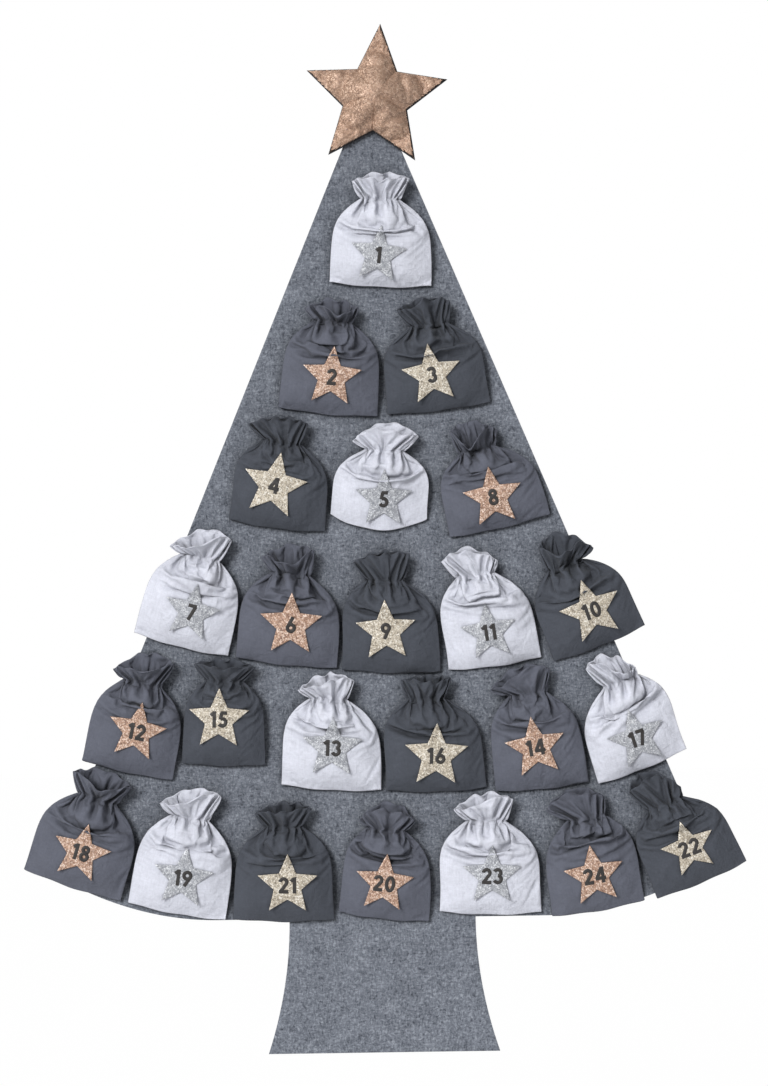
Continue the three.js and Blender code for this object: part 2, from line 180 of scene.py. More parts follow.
class CalendarFelt(bpy.types.PropertyGroup):
    thickness: length("Thickness", "Thickness of the felt panel", 4 * MM)
    apex_width: length("Top width", "Width of the cut top edge", 20 * MM)
    apex_rise: length("Top rise", "Height of the top edge over the origin", 10 * MM)
    skirt_width: length("Skirt width", "Width between the tree's lower corners", 642 * MM)
    skirt_drop: length("Skirt drop", "Depth of the lower corners under the origin", 735 * MM)
    hem_drop: length("Hem drop", "Depth of the hem's middle under the origin", 782 * MM)
    hem_bow: length("Hem bow", "Width of the hem's straight middle", 320 * MM)
    trunk_width: length("Trunk width", "Width of the trunk under the hem", 181 * MM)
    foot_width: length("Foot width", "Width of the trunk's foot", 225 * MM)
    foot_drop: length("Foot drop", "Depth of the foot under the origin", 913 * MM)
    dark: colour("Dark fibres", "Darkest wool in the melange", "3a3e47")
    light: colour("Light fibres", "Lightest wool in the melange", "9fa4ad")
    body: colour("Felt", "Middle colour of the melange", "70757f")


class CalendarTape(bpy.types.PropertyGroup):
    width: length("Width", "Width of the cotton tape", 6 * MM)
    thickness: length("Thickness", "Thickness of the tape", 1.2 * MM)
    loop_width: length("Loop width", "Width over the whole loop", 24 * MM)
    rise: length("Loop rise", "Height of the loop over the origin", 46 * MM)
    tail: length("Tail", "Depth of the sewn tails under the origin", 14 * MM)
    across: length("Place", "Middle of the loop across the tree", 4 * MM)
    cloth: colour("Tape", "Colour of the unbleached cotton tape", "d9d4c9")


class CalendarTopper(bpy.types.PropertyGroup):
    radius: length("Radius", "Middle to tip of the top star", 71 * MM)
    notch: share("Notch", "Inner corners' radius as a share of the tips'", 0.46)
    crown: length("Crown", "Height of the stuffing over the seam", 22 * MM)
    cloth_thickness: length("Cloth", "Thickness of the glitter cloth", 1.2 * MM)
    backing_edge: length("Backing edge", "How far the backing shows round the star", 1.0 * MM)
    across: length("Across", "Middle of the star across the tree", 5 * MM)
    up: length("Up", "Middle of the star over the origin", 15 * MM)
    tilt: share("Tilt", "Clockwise turn of the star, in degrees", 4.5)
    # Painted light on the glitter: the dark colour is painted shade on some flakes, the bright one painted
    # glints
    dark: colour("Dark glitter", "Shaded flakes", "8a6f60")
    body: colour("Glitter", "Main colour of the flakes", "b5937c")
    light: colour("Bright glitter", "Flakes that catch the light", "e6c8b1")
    backing: colour("Backing", "Dark cloth behind the star", "3c3a3d")


class CalendarBags(bpy.types.PropertyGroup):
    columns: IntProperty(name="Columns", description="Cloth points round a bag", default=88)
    rows: IntProperty(name="Rows", description="Cloth points up a bag", default=54)
    frames: IntProperty(name="Frames", description="Steps of the cloth simulation", default=38)
    neck_half: length("Neck half width", "Half the width of the gathered neck", 17 * MM)
    neck_depth: length("Neck depth", "Depth of the gathered neck", 12 * MM)
    belly: length("Patch depth", "How far the flat front stands out", 15 * MM)
    cloth_thickness: length("Cloth", "Thickness of the cotton", 0.6 * MM)
    hem: length("Hem", "Height of the turned hem of the mouth", 5 * MM)
    fold_reach: length("Folds", "How far the gathers reach under the neck", 24 * MM)
    spare: share("Spare length", "Share of longer cloth in the middle of the front", 0.22)
    pressure: share("Filling", "Pressure of the light filling", 0.9)
    weight: share("Weight", "Share of gravity on the cloth", 0.7)
    thread: length("Thread", "Spacing of the threads", 0.55 * MM)
    white: colour("White cloth", "Bleached cotton", "d9dbe6")
    grey: colour("Grey cloth", "Mid grey cotton", "5f626e")
    charcoal: colour("Charcoal cloth", "Dark grey cotton", "474b54")
    hook_width: length("Hook tape width", "Width of the hook tape on the back", 22 * MM)
    hook_height: length("Hook tape height", "Height of the hook tape", 16 * MM)
    hook_thickness: length("Hook tape thickness", "Thickness of the hook tape", 1.5 * MM)
    hook_drop: length("Hook tape drop", "Depth of its middle under the neck", 16 * MM)
    hooks: colour("Hook tape colour", "Dark nylon hooks", "2d2e31")


class CalendarStars(bpy.types.PropertyGroup):
    notch: share("Notch", "Inner corners' radius as a share of the tips'", 0.46)
    thickness: length("Thickness", "Thickness of the glitter patch", 0.8 * MM)
    flake: length("Flake", "Size of a glitter flake", 1.05 * MM)
    digit: length("Number height", "Height of the printed numbers", 15.8 * MM)
    ink: colour("Ink", "Colour of the printed numbers", "2e2b2a")
    # The shade and light colours of each glitter are painted shade and painted glints on some of its flakes
    silver_dark: colour("Silver shade", "Shaded silver flakes", "85888f")
    silver: colour("Silver", "Silver flakes", "a9abb1")
    silver_light: colour("Silver light", "Bright silver flakes", "eceef2")
    copper_dark: colour("Copper shade", "Shaded copper flakes", "7a5e50")
    copper: colour("Copper", "Copper flakes", "b8957f")
    copper_light: colour("Copper light", "Bright copper flakes", "ffe9da")
    gold_dark: colour("Gold shade", "Shaded pale gold flakes", "80776a")
    gold: colour("Pale gold", "Pale gold flakes", "c2b7a5")
    gold_light: colour("Gold light", "Bright pale gold flakes", "fffaf0")


class CalendarStage(bpy.types.PropertyGroup):
    distance: length("Camera distance", "From the felt's front to the camera", 3.2)
    frame_height: length("Frame height", "Height that the picture shows at the felt", 1056 * MM)
    aim_x: length("Aim across", "Middle of the picture across the tree", 6.8 * MM)
    aim_z: length("Aim up", "Middle of the picture over the origin", -417.6 * MM)
    roll: share("Roll", "Clockwise roll of the camera, in degrees", 0.85)
    key: share("Key light", "Strength of the soft key light from the top left", 2.75)
    fill: share("Fill light", "Strength of the light from all sides", 0.17)
    floor_drop: length("Floor", "Depth of the floor under the origin", 1.06)


GROUPS = {
    "calendar_felt": CalendarFelt,
    "calendar_tape": CalendarTape,
    "calendar_topper": CalendarTopper,
    "calendar_bags": CalendarBags,
    "calendar_stars": CalendarStars,
    "calendar_stage": CalendarStage,
}


# Shader helpers


def set_inputs(tree, node, inputs):
    """Links each input that is given a socket, and sets the others to their plain values."""
    for key, value in inputs.items():
        if isinstance(value, bpy.types.NodeSocket):
            tree.links.new(value, node.inputs[key])
        else:
            node.inputs[key].default_value = value


def add_node(tree, kind, inputs=None, **settings):
    made = tree.nodes.new(kind)
    for key, value in settings.items():
        setattr(made, key, value)
    set_inputs(tree, made, inputs or {})
    return made


def add_group(tree, group, inputs):
    return add_node(tree, "ShaderNodeGroup", inputs, node_tree=group).outputs


def math_node(tree, operation, *values):
    return add_node(tree, "ShaderNodeMath", dict(enumerate(values)), operation=operation).outputs[0]


def vector_node(tree, operation, *values):
    return add_node(tree, "ShaderNodeVectorMath", dict(enumerate(values)), operation=operation).outputs[0]


def noise_node(tree, place, scale, detail, roughness=0.5, distortion=0.0):
    values = {"Vector": place, "Scale": scale, "Detail": detail}
    values |= {"Roughness": roughness, "Distortion": distortion}
    return add_node(tree, "ShaderNodeTexNoise", values)


def ramp_node(tree, factor, stops):
    made = add_node(tree, "ShaderNodeValToRGB", {0: factor})
    ramp = made.color_ramp
    while len(ramp.elements) < len(stops):
        ramp.elements.new(0.5)
    for element, (position, value) in zip(ramp.elements, stops):
        element.position = position
        element.color = (value, value, value, 1)
    return made.outputs["Color"]


def mix_colours(tree, factor, a, b, blend="MIX"):
    inputs = {0: factor, 6: a, 7: b}
    return add_node(tree, "ShaderNodeMix", inputs, data_type="RGBA", blend_type=blend).outputs[2]


def shader_group(name, inputs, outputs, build):
    """A node group with named sockets, made once. build gets its tree and inputs and returns its outputs."""
    if name in bpy.data.node_groups:
        return bpy.data.node_groups[name]
    tree = bpy.data.node_groups.new(name, "ShaderNodeTree")
    kinds = {"V": "NodeSocketVector", "C": "NodeSocketColor", "F": "NodeSocketFloat"}
    for label, kind in inputs:
        tree.interface.new_socket(label, in_out="INPUT", socket_type=kinds[kind])
    for label, kind in outputs:
        tree.interface.new_socket(label, in_out="OUTPUT", socket_type=kinds[kind])
    start, end = tree.nodes.new("NodeGroupInput"), tree.nodes.new("NodeGroupOutput")
    results = build(tree, {label: start.outputs[label] for label, _ in inputs})
    for label, _ in outputs:
        tree.links.new(results[label], end.inputs[label])
    return tree


def weave_group():
    """A plain weave with slubs: threads cross over and under each other along the cloth's own map."""

    def build(tree, given):
        scaled = vector_node(tree, "DIVIDE", given["Map"], given["Thread"])
        parts = add_node(tree, "ShaderNodeSeparateXYZ", {0: scaled}).outputs
        waves = [math_node(tree, "SINE", math_node(tree, "MULTIPLY", parts[k], math.pi)) for k in "XY"]
        bumps = math_node(tree, "ABSOLUTE", math_node(tree, "MULTIPLY", *waves))
        slubs = []
        for stretch in ((60.0, 900.0, 60.0), (900.0, 60.0, 60.0)):
            stretched = vector_node(tree, "MULTIPLY", given["Map"], stretch)
            slubs.append(noise_node(tree, stretched, 1.0, 3.0).outputs["Fac"])
        threads = math_node(tree, "ADD", *slubs)
        height = math_node(tree, "ADD", math_node(tree, "MULTIPLY", bumps, 0.6), threads)
        return {"Height": height, "Threads": math_node(tree, "MULTIPLY", threads, 0.5)}

    sockets = [("Map", "V"), ("Thread", "V")]
    return shader_group("Plain weave", sockets, [("Height", "F"), ("Threads", "F")], build)


def worn_colour_group():
    """Uneven dye: broad soft patches and lighter threads over a base colour."""

    def build(tree, given):
        patches = noise_node(tree, given["Place"], 45.0, 4.0, 0.6)
        lint = noise_node(tree, given["Place"], 420.0, 3.0, 0.7)
        value = given["Colour"]
        for mask, stops in (
            (patches.outputs["Fac"], [(0.3, 0.93), (0.7, 1.06)]),
            (lint.outputs["Fac"], [(0.3, 0.94), (0.72, 1.08)]),
            (given["Threads"], [(0.3, 0.92), (0.7, 1.07)]),
        ):
            value = mix_colours(tree, 1.0, value, ramp_node(tree, mask, stops), "MULTIPLY")
        return {"Colour": value}

    sockets = [("Place", "V"), ("Colour", "C"), ("Threads", "F")]
    return shader_group("Uneven dye", sockets, [("Colour", "C")], build)


def crumple_group():
    """Small creases of washed cotton: broad soft dents with a few sharper lines between them."""

    def build(tree, given):
        dents = noise_node(tree, given["Place"], 38.0, 2.0, 0.5, 0.6)
        lines = noise_node(tree, given["Place"], 95.0, 3.0, 0.6, 1.6)
        height = math_node(tree, "MULTIPLY", lines.outputs["Fac"], 0.34)
        return {"Height": math_node(tree, "ADD", dents.outputs["Fac"], height)}

    return shader_group("Crumples", [("Place", "V")], [("Height", "F")], build)


def flake_group():
    """Glitter: leaning cells with random painted light, darker cells painted shade, brightest painted
    glints.
    """

    def build(tree, given):
        scaled = vector_node(tree, "DIVIDE", given["Place"], given["Flake"])
        cells = add_node(tree, "ShaderNodeTexVoronoi", {"Vector": scaled, "Scale": 1.0})
        white = add_node(tree, "ShaderNodeTexWhiteNoise", {"Vector": cells.outputs["Position"]})
        broad_map = vector_node(tree, "MULTIPLY", scaled, (0.42, 0.42, 0.42))
        broad = add_node(tree, "ShaderNodeTexVoronoi", {"Vector": broad_map, "Scale": 1.0})
        clump = add_node(tree, "ShaderNodeTexWhiteNoise", {"Vector": broad.outputs["Position"]})
        mixed = math_node(tree, "MULTIPLY", white.outputs["Value"], 0.72)
        mixed = math_node(tree, "ADD", mixed, math_node(tree, "MULTIPLY", clump.outputs["Value"], 0.28))
        # Painted shade and painted glints: at random, flakes are darkened towards Dark or brightened to
        # Light
        shade = ramp_node(tree, mixed, [(0.12, 0.0), (0.5, 1.0)])
        painted_glint_mask = ramp_node(tree, mixed, [(0.58, 0.0), (0.92, 1.0)])
        base = mix_colours(tree, shade, given["Dark"], given["Colour"])
        lean = vector_node(tree, "SUBTRACT", white.outputs["Color"], (0.5, 0.5, 0.5))
        lean = vector_node(tree, "MULTIPLY", lean, (0.55, 0.55, 0.55))
        normal = add_node(tree, "ShaderNodeNewGeometry").outputs["Normal"]
        tipped = vector_node(tree, "NORMALIZE", vector_node(tree, "ADD", normal, lean))
        return {"Colour": mix_colours(tree, painted_glint_mask, base, given["Light"]), "Normal": tipped}

    sockets = [("Place", "V"), ("Flake", "V"), ("Dark", "C"), ("Colour", "C"), ("Light", "C")]
    return shader_group("Glitter flakes", sockets, [("Colour", "C"), ("Normal", "V")], build)


def fibre_group():
    """Felt: matted fibres in two directions, with dark and light wool mixed in."""

    def build(tree, given):
        warp = noise_node(tree, given["Place"], 130.0, 2.0)
        push = vector_node(tree, "MULTIPLY", warp.outputs["Color"], (0.006, 0.006, 0.006))
        pushed = vector_node(tree, "ADD", given["Place"], push)
        total = 0.0
        for stretch in ((700.0, 700.0, 170.0), (170.0, 700.0, 700.0), (420.0, 420.0, 420.0)):
            layer = noise_node(tree, vector_node(tree, "MULTIPLY", pushed, stretch), 1.0, 4.0, 0.65)
            total = math_node(tree, "ADD", total, layer.outputs["Fac"])
        mean = math_node(tree, "MULTIPLY", total, 1 / 3)
        cloud = noise_node(tree, given["Place"], 60.0, 3.0)
        mottled = math_node(tree, "ADD", mean, math_node(tree, "MULTIPLY", cloud.outputs["Fac"], 0.12))
        dark = ramp_node(tree, mottled, [(0.44, 1.0), (0.56, 0.0)])
        light = ramp_node(tree, mottled, [(0.57, 0.0), (0.70, 1.0)])
        base = mix_colours(tree, dark, given["Colour"], given["Dark"])
        return {"Colour": mix_colours(tree, light, base, given["Light"]), "Height": mean}

    sockets = [("Place", "V"), ("Dark", "C"), ("Colour", "C"), ("Light", "C")]
    return shader_group("Matted fibres", sockets, [("Colour", "C"), ("Height", "F")], build)


def rgba(value):
    return (*value[:3], 1.0)


def own_place(tree):
    return add_node(tree, "ShaderNodeTexCoord").outputs["Object"]


def new_material(name, values):
    """A material, its nodes and its Principled shader, which gets the plain values."""
    material = bpy.data.materials.new(name)
    material.use_nodes = True
    tree = material.node_tree
    shader = tree.nodes["Principled BSDF"]
    set_inputs(tree, shader, values)
    return material, tree, shader


def bumped(tree, height, distance, strength=1.0, **under):
    """The normal of a height map, on top of another Normal where one is given."""
    values = {"Height": height, "Distance": distance, "Strength": strength} | under
    return add_node(tree, "ShaderNodeBump", values).outputs["Normal"]


def fold_shade(tree, tint, reach, amount):
    """Painted shade: a colour darkened by ambient occlusion where folds or pieces within reach shut it in.
    """
    ao_painted_shade = add_node(tree, "ShaderNodeAmbientOcclusion", {"Color": tint, "Distance": reach}, samples=16)
    return mix_colours(tree, amount, tint, ao_painted_shade.outputs["Color"])


def cloth_material(name, tint, thread, folds=0.9):
    """Woven cotton: threads along the piece's own map, uneven dye, small creases, a soft sheen, painted fold
    shade.
    """
    if name in bpy.data.materials:
        return bpy.data.materials[name]
    values = {"Roughness": 0.88, "Sheen Weight": 0.06, "Sheen Roughness": 0.5}
    material, tree, shader = new_material(name, values)
    along = add_node(tree, "ShaderNodeUVMap", uv_map="cloth").outputs["UV"]
    place = own_place(tree)
    weave = add_group(tree, weave_group(), {"Map": along, "Thread": (thread,) * 3})
    dye = {"Place": place, "Colour": rgba(tint), "Threads": weave["Threads"]}
    dyed = add_group(tree, worn_colour_group(), dye)["Colour"]
    creases = add_group(tree, crumple_group(), {"Place": place})["Height"]
    soft = bumped(tree, creases, 3 * MM)
    fine = bumped(tree, weave["Height"], 0.14 * MM, Normal=soft)
    # Painted shade: the base colour is darkened by ambient occlusion in the folds
    set_inputs(tree, shader, {"Base Color": fold_shade(tree, dyed, 16 * MM, folds), "Normal": fine})
    return material


def glitter_material(name, dark, tint, light, flake):
    """Glitter cloth: flakes that lean each their own way, with painted glints and painted shade on some of
    them.
    """
    if name in bpy.data.materials:
        return bpy.data.materials[name]
    material, tree, shader = new_material(name, {"Roughness": 0.5, "Metallic": 0.2})
    tints = {"Dark": rgba(dark), "Colour": rgba(tint), "Light": rgba(light)}
    flakes = add_group(tree, flake_group(), {"Place": own_place(tree), "Flake": (flake,) * 3} | tints)
    set_inputs(tree, shader, {"Base Color": flakes["Colour"], "Normal": flakes["Normal"]})
    return material


def felt_material(felt):
    """Matted wool, with painted shade: ambient occlusion darkens its colour close to the bags."""
    values = {"Roughness": 0.95, "Sheen Weight": 0.08, "Sheen Roughness": 0.6}
    material, tree, shader = new_material("melange", values)
    tints = {"Dark": rgba(felt.dark), "Colour": rgba(felt.body), "Light": rgba(felt.light)}
    fibres = add_group(tree, fibre_group(), {"Place": own_place(tree)} | tints)
    # Painted shade: ambient occlusion darkens the felt's colour where the bags stand close over it
    shade = fold_shade(tree, fibres["Colour"], 60 * MM, 0.7)
    set_inputs(tree, shader, {"Base Color": shade, "Normal": bumped(tree, fibres["Height"], 1.1 * MM, 0.8)})
    return material


def plain_material(name, tint, roughness, grain=900.0, depth=0.08 * MM):
    """A small part's finish: a fine grain over one colour."""
    if name in bpy.data.materials:
        return bpy.data.materials[name]
    material, tree, shader = new_material(name, {"Roughness": roughness})
    texture = noise_node(tree, own_place(tree), grain, 3.0).outputs["Fac"]
    shade = ramp_node(tree, texture, [(0.3, 0.85), (0.7, 1.12)])
    tinted = mix_colours(tree, 1.0, rgba(tint), shade, "MULTIPLY")
    set_inputs(tree, shader, {"Base Color": tinted, "Normal": bumped(tree, texture, depth)})
    return material


# Mesh helpers


def finish_piece(obj, material, body, slot, *nodes):
    """Gives a finished mesh its material and its place in the frame."""
    obj.data.materials.clear()
    obj.data.materials.append(material)
    for polygon in obj.data.polygons:
        polygon.use_smooth = True
    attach(obj, body)
    if nodes:
        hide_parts(*nodes)
    return obj


def add_object(name, data):
    obj = bpy.data.objects.new(name, data)
    bpy.context.collection.objects.link(obj)
    return obj


def new_object(name, points, faces, maps=None, edges=()):
    """An object of the points and faces, with the map that the weave of a cloth follows."""
    mesh = bpy.data.meshes.new(name)
    mesh.from_pydata([tuple(p) for p in points], edges, faces)
    if maps:
        layer = mesh.uv_layers.new(name="cloth")
        for loop in mesh.loops:
            layer.data[loop.index].uv = maps[loop.vertex_index]
    mesh.validate()
    return add_object(name, mesh)


def ring_faces(above, below):
    """The faces between two closed rings of as many points."""
    count = len(above)
    return [(above[i], above[(i + 1) % count], below[(i + 1) % count], below[i]) for i in range(count)]


def applied(obj):
    """The object with its modifiers made into its mesh."""
    graph = bpy.context.evaluated_depsgraph_get()
    mesh = bpy.data.meshes.new_from_object(obj.evaluated_get(graph), depsgraph=graph)
    obj.modifiers.clear()
    old, obj.data = obj.data, mesh
    mesh.name = obj.name
    bpy.data.meshes.remove(old)
    return obj


def add_bevel(obj, width, segments, angle):
    bevel = obj.modifiers.new("Edge", "BEVEL")
    bevel.width, bevel.segments = width, segments
    bevel.limit_method, bevel.angle_limit = "ANGLE", math.radians(angle)


def subdivided(obj, boundary="ALL"):
    """The object with its mesh subdivided and smoothed once."""
    smooth = obj.modifiers.new("Smooth", "SUBSURF")
    smooth.levels = smooth.render_levels = 1
    smooth.boundary_smooth = boundary
    return applied(obj)


def recalculated(obj):
    """The same mesh with doubles merged and every face pointing outwards."""
    work = bmesh.new()
    work.from_mesh(obj.data)
    bmesh.ops.remove_doubles(work, verts=work.verts, dist=1e-6)
    bmesh.ops.recalc_face_normals(work, faces=work.faces)
    work.to_mesh(obj.data)
    work.free()
    return obj


def star_reach(radius, notch, angle):
    """Distance from a star's middle to its edge in a direction, 0 at the upper tip."""
    half = math.pi / 5
    turn = angle / (2 * half)
    off = abs(turn - round(turn)) * 2 * half
    inner = radius * notch
    return radius * inner * math.sin(half) / (inner * math.sin(half - off) + radius * math.sin(off))


def turned(middle, degrees, across, up):
    """A point across and up from a middle, turned round it clockwise as seen from the front."""
    x, z = middle
    t = math.radians(degrees)
    return x + across * math.cos(t) + up * math.sin(t), z - across * math.sin(t) + up * math.cos(t)


# Felt tree


def felt_grid(felt):
    """Rows of points over the skirt and the trunk, whose columns meet along the hem."""
    trunk_columns, side_columns, skirt_rows, trunk_rows = 28, 34, 120, 22
    trunk, half, bow = felt.trunk_width / 2, felt.skirt_width / 2, felt.hem_bow / 2
    inner = [lerp(-trunk, trunk, i / trunk_columns) for i in range(trunk_columns + 1)]
    outer = [lerp(trunk, half, i / side_columns) for i in range(1, side_columns + 1)]
    columns = [-x for x in reversed(outer)] + inner + outer

    def hem(x):
        u = max(0, (abs(x) - bow) / (half - bow))
        return -felt.hem_drop + (felt.hem_drop - felt.skirt_drop) * u * u

    def add_row(above, row):
        """Adds a row of points and the faces between it and the row above."""
        below = range(len(points), len(points) + len(row))
        points.extend(row)
        if above:
            faces.extend((above[i], above[i + 1], below[i + 1], below[i]) for i in range(len(row) - 1))
        return below

    points, faces, above = [], [], None
    for row in range(skirt_rows + 1):
        t = row / skirt_rows
        tops = [x / half * felt.apex_width / 2 for x in columns]
        line = [(lerp(top, x, t), 0, lerp(felt.apex_rise, hem(x), t)) for top, x in zip(tops, columns)]
        above = add_row(above, line)
    above = above[len(outer) : len(outer) + len(inner)]
    for row in range(1, trunk_rows + 1):
        u = row / trunk_rows
        wide = (felt.trunk_width + (felt.foot_width - felt.trunk_width) * u * u) / 2
        height = lerp(-felt.hem_drop, -felt.foot_drop, u)
        above = add_row(above, [(x / trunk * wide, 0, height) for x in inner])
    return points, faces


class CALENDAR_OT_felt(bpy.types.Operator):
    """Cut the felt tree and give it its slight waviness and soft edge"""

    bl_idname = "calendar.felt"
    bl_label = "Felt tree"

    def execute(self, context):
        felt = context.scene.calendar_felt
        wave, play, edge = 0.35 * MM, 0.7 * MM, 0.7 * MM
        points, faces = felt_grid(felt)
        waved = [(x, wave * noise.noise(Vector((x * 9, z * 9, 2.0))) - wave, z) for x, _, z in points]
        obj = new_object("felt_panel", waved, faces)
        solid = obj.modifiers.new("Thickness", "SOLIDIFY")
        solid.thickness, solid.offset = felt.thickness - play, 1.0
        add_bevel(obj, edge, 2, 50)
        recalculated(applied(obj))
        # The thickness was added behind the grid, so the panel moves forward by it
        for v in obj.data.vertices:
            v.co.y -= felt.thickness - play
        finish_piece(obj, felt_material(felt), "tree", "felt", "felt_tree")
        return {"FINISHED"}


# Hanging loop


class CALENDAR_OT_loop(bpy.types.Operator):
    """Lay the hanging loop of cotton tape that is sewn behind the top star"""

    bl_idname = "calendar.loop"
    bl_label = "Hanging loop"

    def execute(self, context):
        tape = context.scene.calendar_tape
        middle = (tape.loop_width - tape.width) / 2
        bend = tape.rise - tape.loop_width / 2
        legs, bends = 14, 24
        path = [(-middle, lerp(-tape.tail, bend, i / legs), -1.0, 0.0) for i in range(legs)]
        for i in range(bends + 1):
            a = math.pi - math.pi * i / bends
            path.append((middle * math.cos(a), bend + middle * math.sin(a), math.cos(a), math.sin(a)))
        path += [(middle, lerp(bend, -tape.tail, i / legs), 1.0, 0.0) for i in range(1, legs + 1)]
        back = -(context.scene.calendar_felt.thickness + SEAT * MM)
        points, maps, rings, run = [], [], [], 0.0
        across = [-0.5, -0.44, -0.25, 0.0, 0.25, 0.44, 0.5]
        for k, (x, z, out_x, out_z) in enumerate(path):
            if k:
                run += math.hypot(x - path[k - 1][0], z - path[k - 1][1])
            first = len(points)
            for side, places in ((-0.5, across), (0.5, across[::-1])):
                for place in places:
                    thin = 0.82 if abs(place) > 0.45 else 1.0
                    depth = tape.thickness * (0.5 + side * thin)
                    wide = place * tape.width
                    points.append((tape.across + x + out_x * wide, back - depth, z + out_z * wide))
                    maps.append((wide, run))
            rings.append(range(first, len(points)))
        faces = [face for one, other in zip(rings, rings[1:]) for face in ring_faces(one, other)]
        faces += [tuple(rings[0]), tuple(reversed(rings[-1]))]
        obj = recalculated(new_object("hanging_tape", points, faces, maps))
        material = cloth_material("woven_tape", tape.cloth, 0.9 * MM)
        finish_piece(obj, material, "tree", "tape", "hanging_loop")
        rows = []
        for side in (-1, 1):
            for up in (-12 * MM, -7 * MM, -2 * MM):
                x = tape.across + side * middle
                rows.append([(x + end * 2.2 * MM, back - tape.thickness, up) for end in (-1, 1)])
        stitches("tape_stitches", rows, 1.5 * MM, 0.5 * MM, tape.cloth, "tree", "tape")
        return {"FINISHED"}


def stitch_tree():
    """Geometry nodes that lay short thread stitches end to end along the edges of a mesh of paths."""
    name = "Stitches"
    if name in bpy.data.node_groups:
        return bpy.data.node_groups[name]
    tree = bpy.data.node_groups.new(name, "GeometryNodeTree")
    tree.interface.new_socket("Paths", in_out="INPUT", socket_type="NodeSocketGeometry")
    for label, kind in (("Pitch", "Float"), ("Thread", "Float"), ("Finish", "Material")):
        tree.interface.new_socket(label, in_out="INPUT", socket_type="NodeSocket" + kind)
    tree.interface.new_socket("Stitches", in_out="OUTPUT", socket_type="NodeSocketGeometry")
    start, end = tree.nodes.new("NodeGroupInput"), tree.nodes.new("NodeGroupOutput")
    curve = add_node(tree, "GeometryNodeMeshToCurve", {"Mesh": start.outputs["Paths"]})
    spacing = {"Curve": curve.outputs["Curve"], "Length": start.outputs["Pitch"]}
    spaced = add_node(tree, "GeometryNodeCurveToPoints", spacing, mode="LENGTH")
    radius = math_node(tree, "MULTIPLY", start.outputs["Thread"], 0.5)
    thread = add_node(tree, "GeometryNodeMeshUVSphere", {"Segments": 6, "Rings": 4, "Radius": radius})
    ratio = math_node(tree, "DIVIDE", start.outputs["Pitch"], start.outputs["Thread"])
    long = math_node(tree, "MULTIPLY", ratio, 0.86)
    size = add_node(tree, "ShaderNodeCombineXYZ", {"X": 1.0, "Y": 1.0, "Z": long})
    places = {key: spaced.outputs[key] for key in ("Points", "Rotation")}
    places |= {"Instance": thread.outputs["Mesh"], "Scale": size.outputs[0]}
    placed_threads = add_node(tree, "GeometryNodeInstanceOnPoints", places)
    real = add_node(tree, "GeometryNodeRealizeInstances", {"Geometry": placed_threads.outputs["Instances"]})
    finish = {"Geometry": real.outputs["Geometry"], "Material": start.outputs["Finish"]}
    coloured = add_node(tree, "GeometryNodeSetMaterial", finish)
    tree.links.new(coloured.outputs["Geometry"], end.inputs["Stitches"])
    return tree


def set_tree(obj, tree, **values):
    """Adds the tree to the object as a modifier and sets its inputs by their sockets' identifiers."""
    modifier = obj.modifiers.new(tree.name, "NODES")
    modifier.node_group = tree
    for item in tree.interface.items_tree:
        if item.item_type == "SOCKET" and item.in_out == "INPUT" and item.name in values:
            modifier[item.identifier] = values[item.name]


def stitches(name, rows, pitch, thread, tint, body, slot):
    """Rows of stitches along lists of points."""
    points, edges = [], []
    for row in rows:
        first = len(points)
        points += row
        edges += [(first + i, first + i + 1) for i in range(len(row) - 1)]
    obj = new_object(name, points, [], edges=edges)
    material = plain_material("thread_" + name, tint, 0.8)
    set_tree(obj, stitch_tree(), Pitch=pitch, Thread=thread, Finish=material)
    finish_piece(applied(obj), material, body, slot)


# Cotton bags

# Depths in a bag's own space, in millimetres. Its back lies at 0 and its front faces -Y.
BACK_LIMIT, FRONT_LIMIT = -0.2, -28.5
SEAM_PLANE, CUT_PLANE, GATHER_PLANE, NECK_PLANE, MOUTH_PLANE = -1.5, -6, -5, -7.5, -10.5
# The straight sides' share of a bag's height, and its half width where the shoulders meet the neck
STRAIGHT, SHOULDER = 0.4, 19
# How far the front is held flat over the star's middle, over what height it is then let go, and the least
# and full reach of the gathers over that
FLAT_TOP, FLAT_FADE, LEAST_REACH, FULL_REACH = 14, 12, 12, 24
# How much wider the ruffle is cut than it ends, and how far the turned hem stands out
RUFFLE_FULLNESS, HEM_STEP = 1.08, 0.2
# Size of a millimetre while the cloth is simulated
SIM = 0.01


def bag_back(scene):
    """Depth of the bags' backs in millimetres. The felt and their hook tape lie behind them."""
    return -(scene.calendar_felt.thickness / MM + SEAT + scene.calendar_bags.hook_thickness / MM)


def placed(bag, point, back):
    """A point of the bag's own space, in millimetres, put in its place on the tree, in metres."""
    across, depth, up = point
    x, z = turned((bag["x"], bag["z"]), bag["tilt"], across, up)
    return Vector((x * MM, (back + depth) * MM, z * MM))


def side_half_width(bag, t):
    """Half the width of the bag at a share of its height: straight sides, then round shoulders."""
    turn_in = max(0, (t - STRAIGHT) / (1 - STRAIGHT)) ** 3.2
    return lerp(bag["width"] / 2 * (1 - 0.05 * t), SHOULDER, turn_in)


def middle_line(bag, t):
    """How far the bag's middle has moved sideways at a share of its height to the neck."""
    return bag["neck"][0] * t * t


def seam_height(bag, run, cut):
    """Height over the bottom seam of a point of the side seam, from its run along the cut cloth."""
    neck = bag["neck"][1]
    start = 0.55 * neck
    if run <= start:
        return run
    return run - (cut - neck) * ((run - start) / (cut - start)) ** 1.6


def across_bag(turn):
    """Place across the bag, from -1 to 1, of a turn round it from its left seam by the front."""
    return 4 * turn - 1 if turn < 0.5 else 3 - 4 * turn


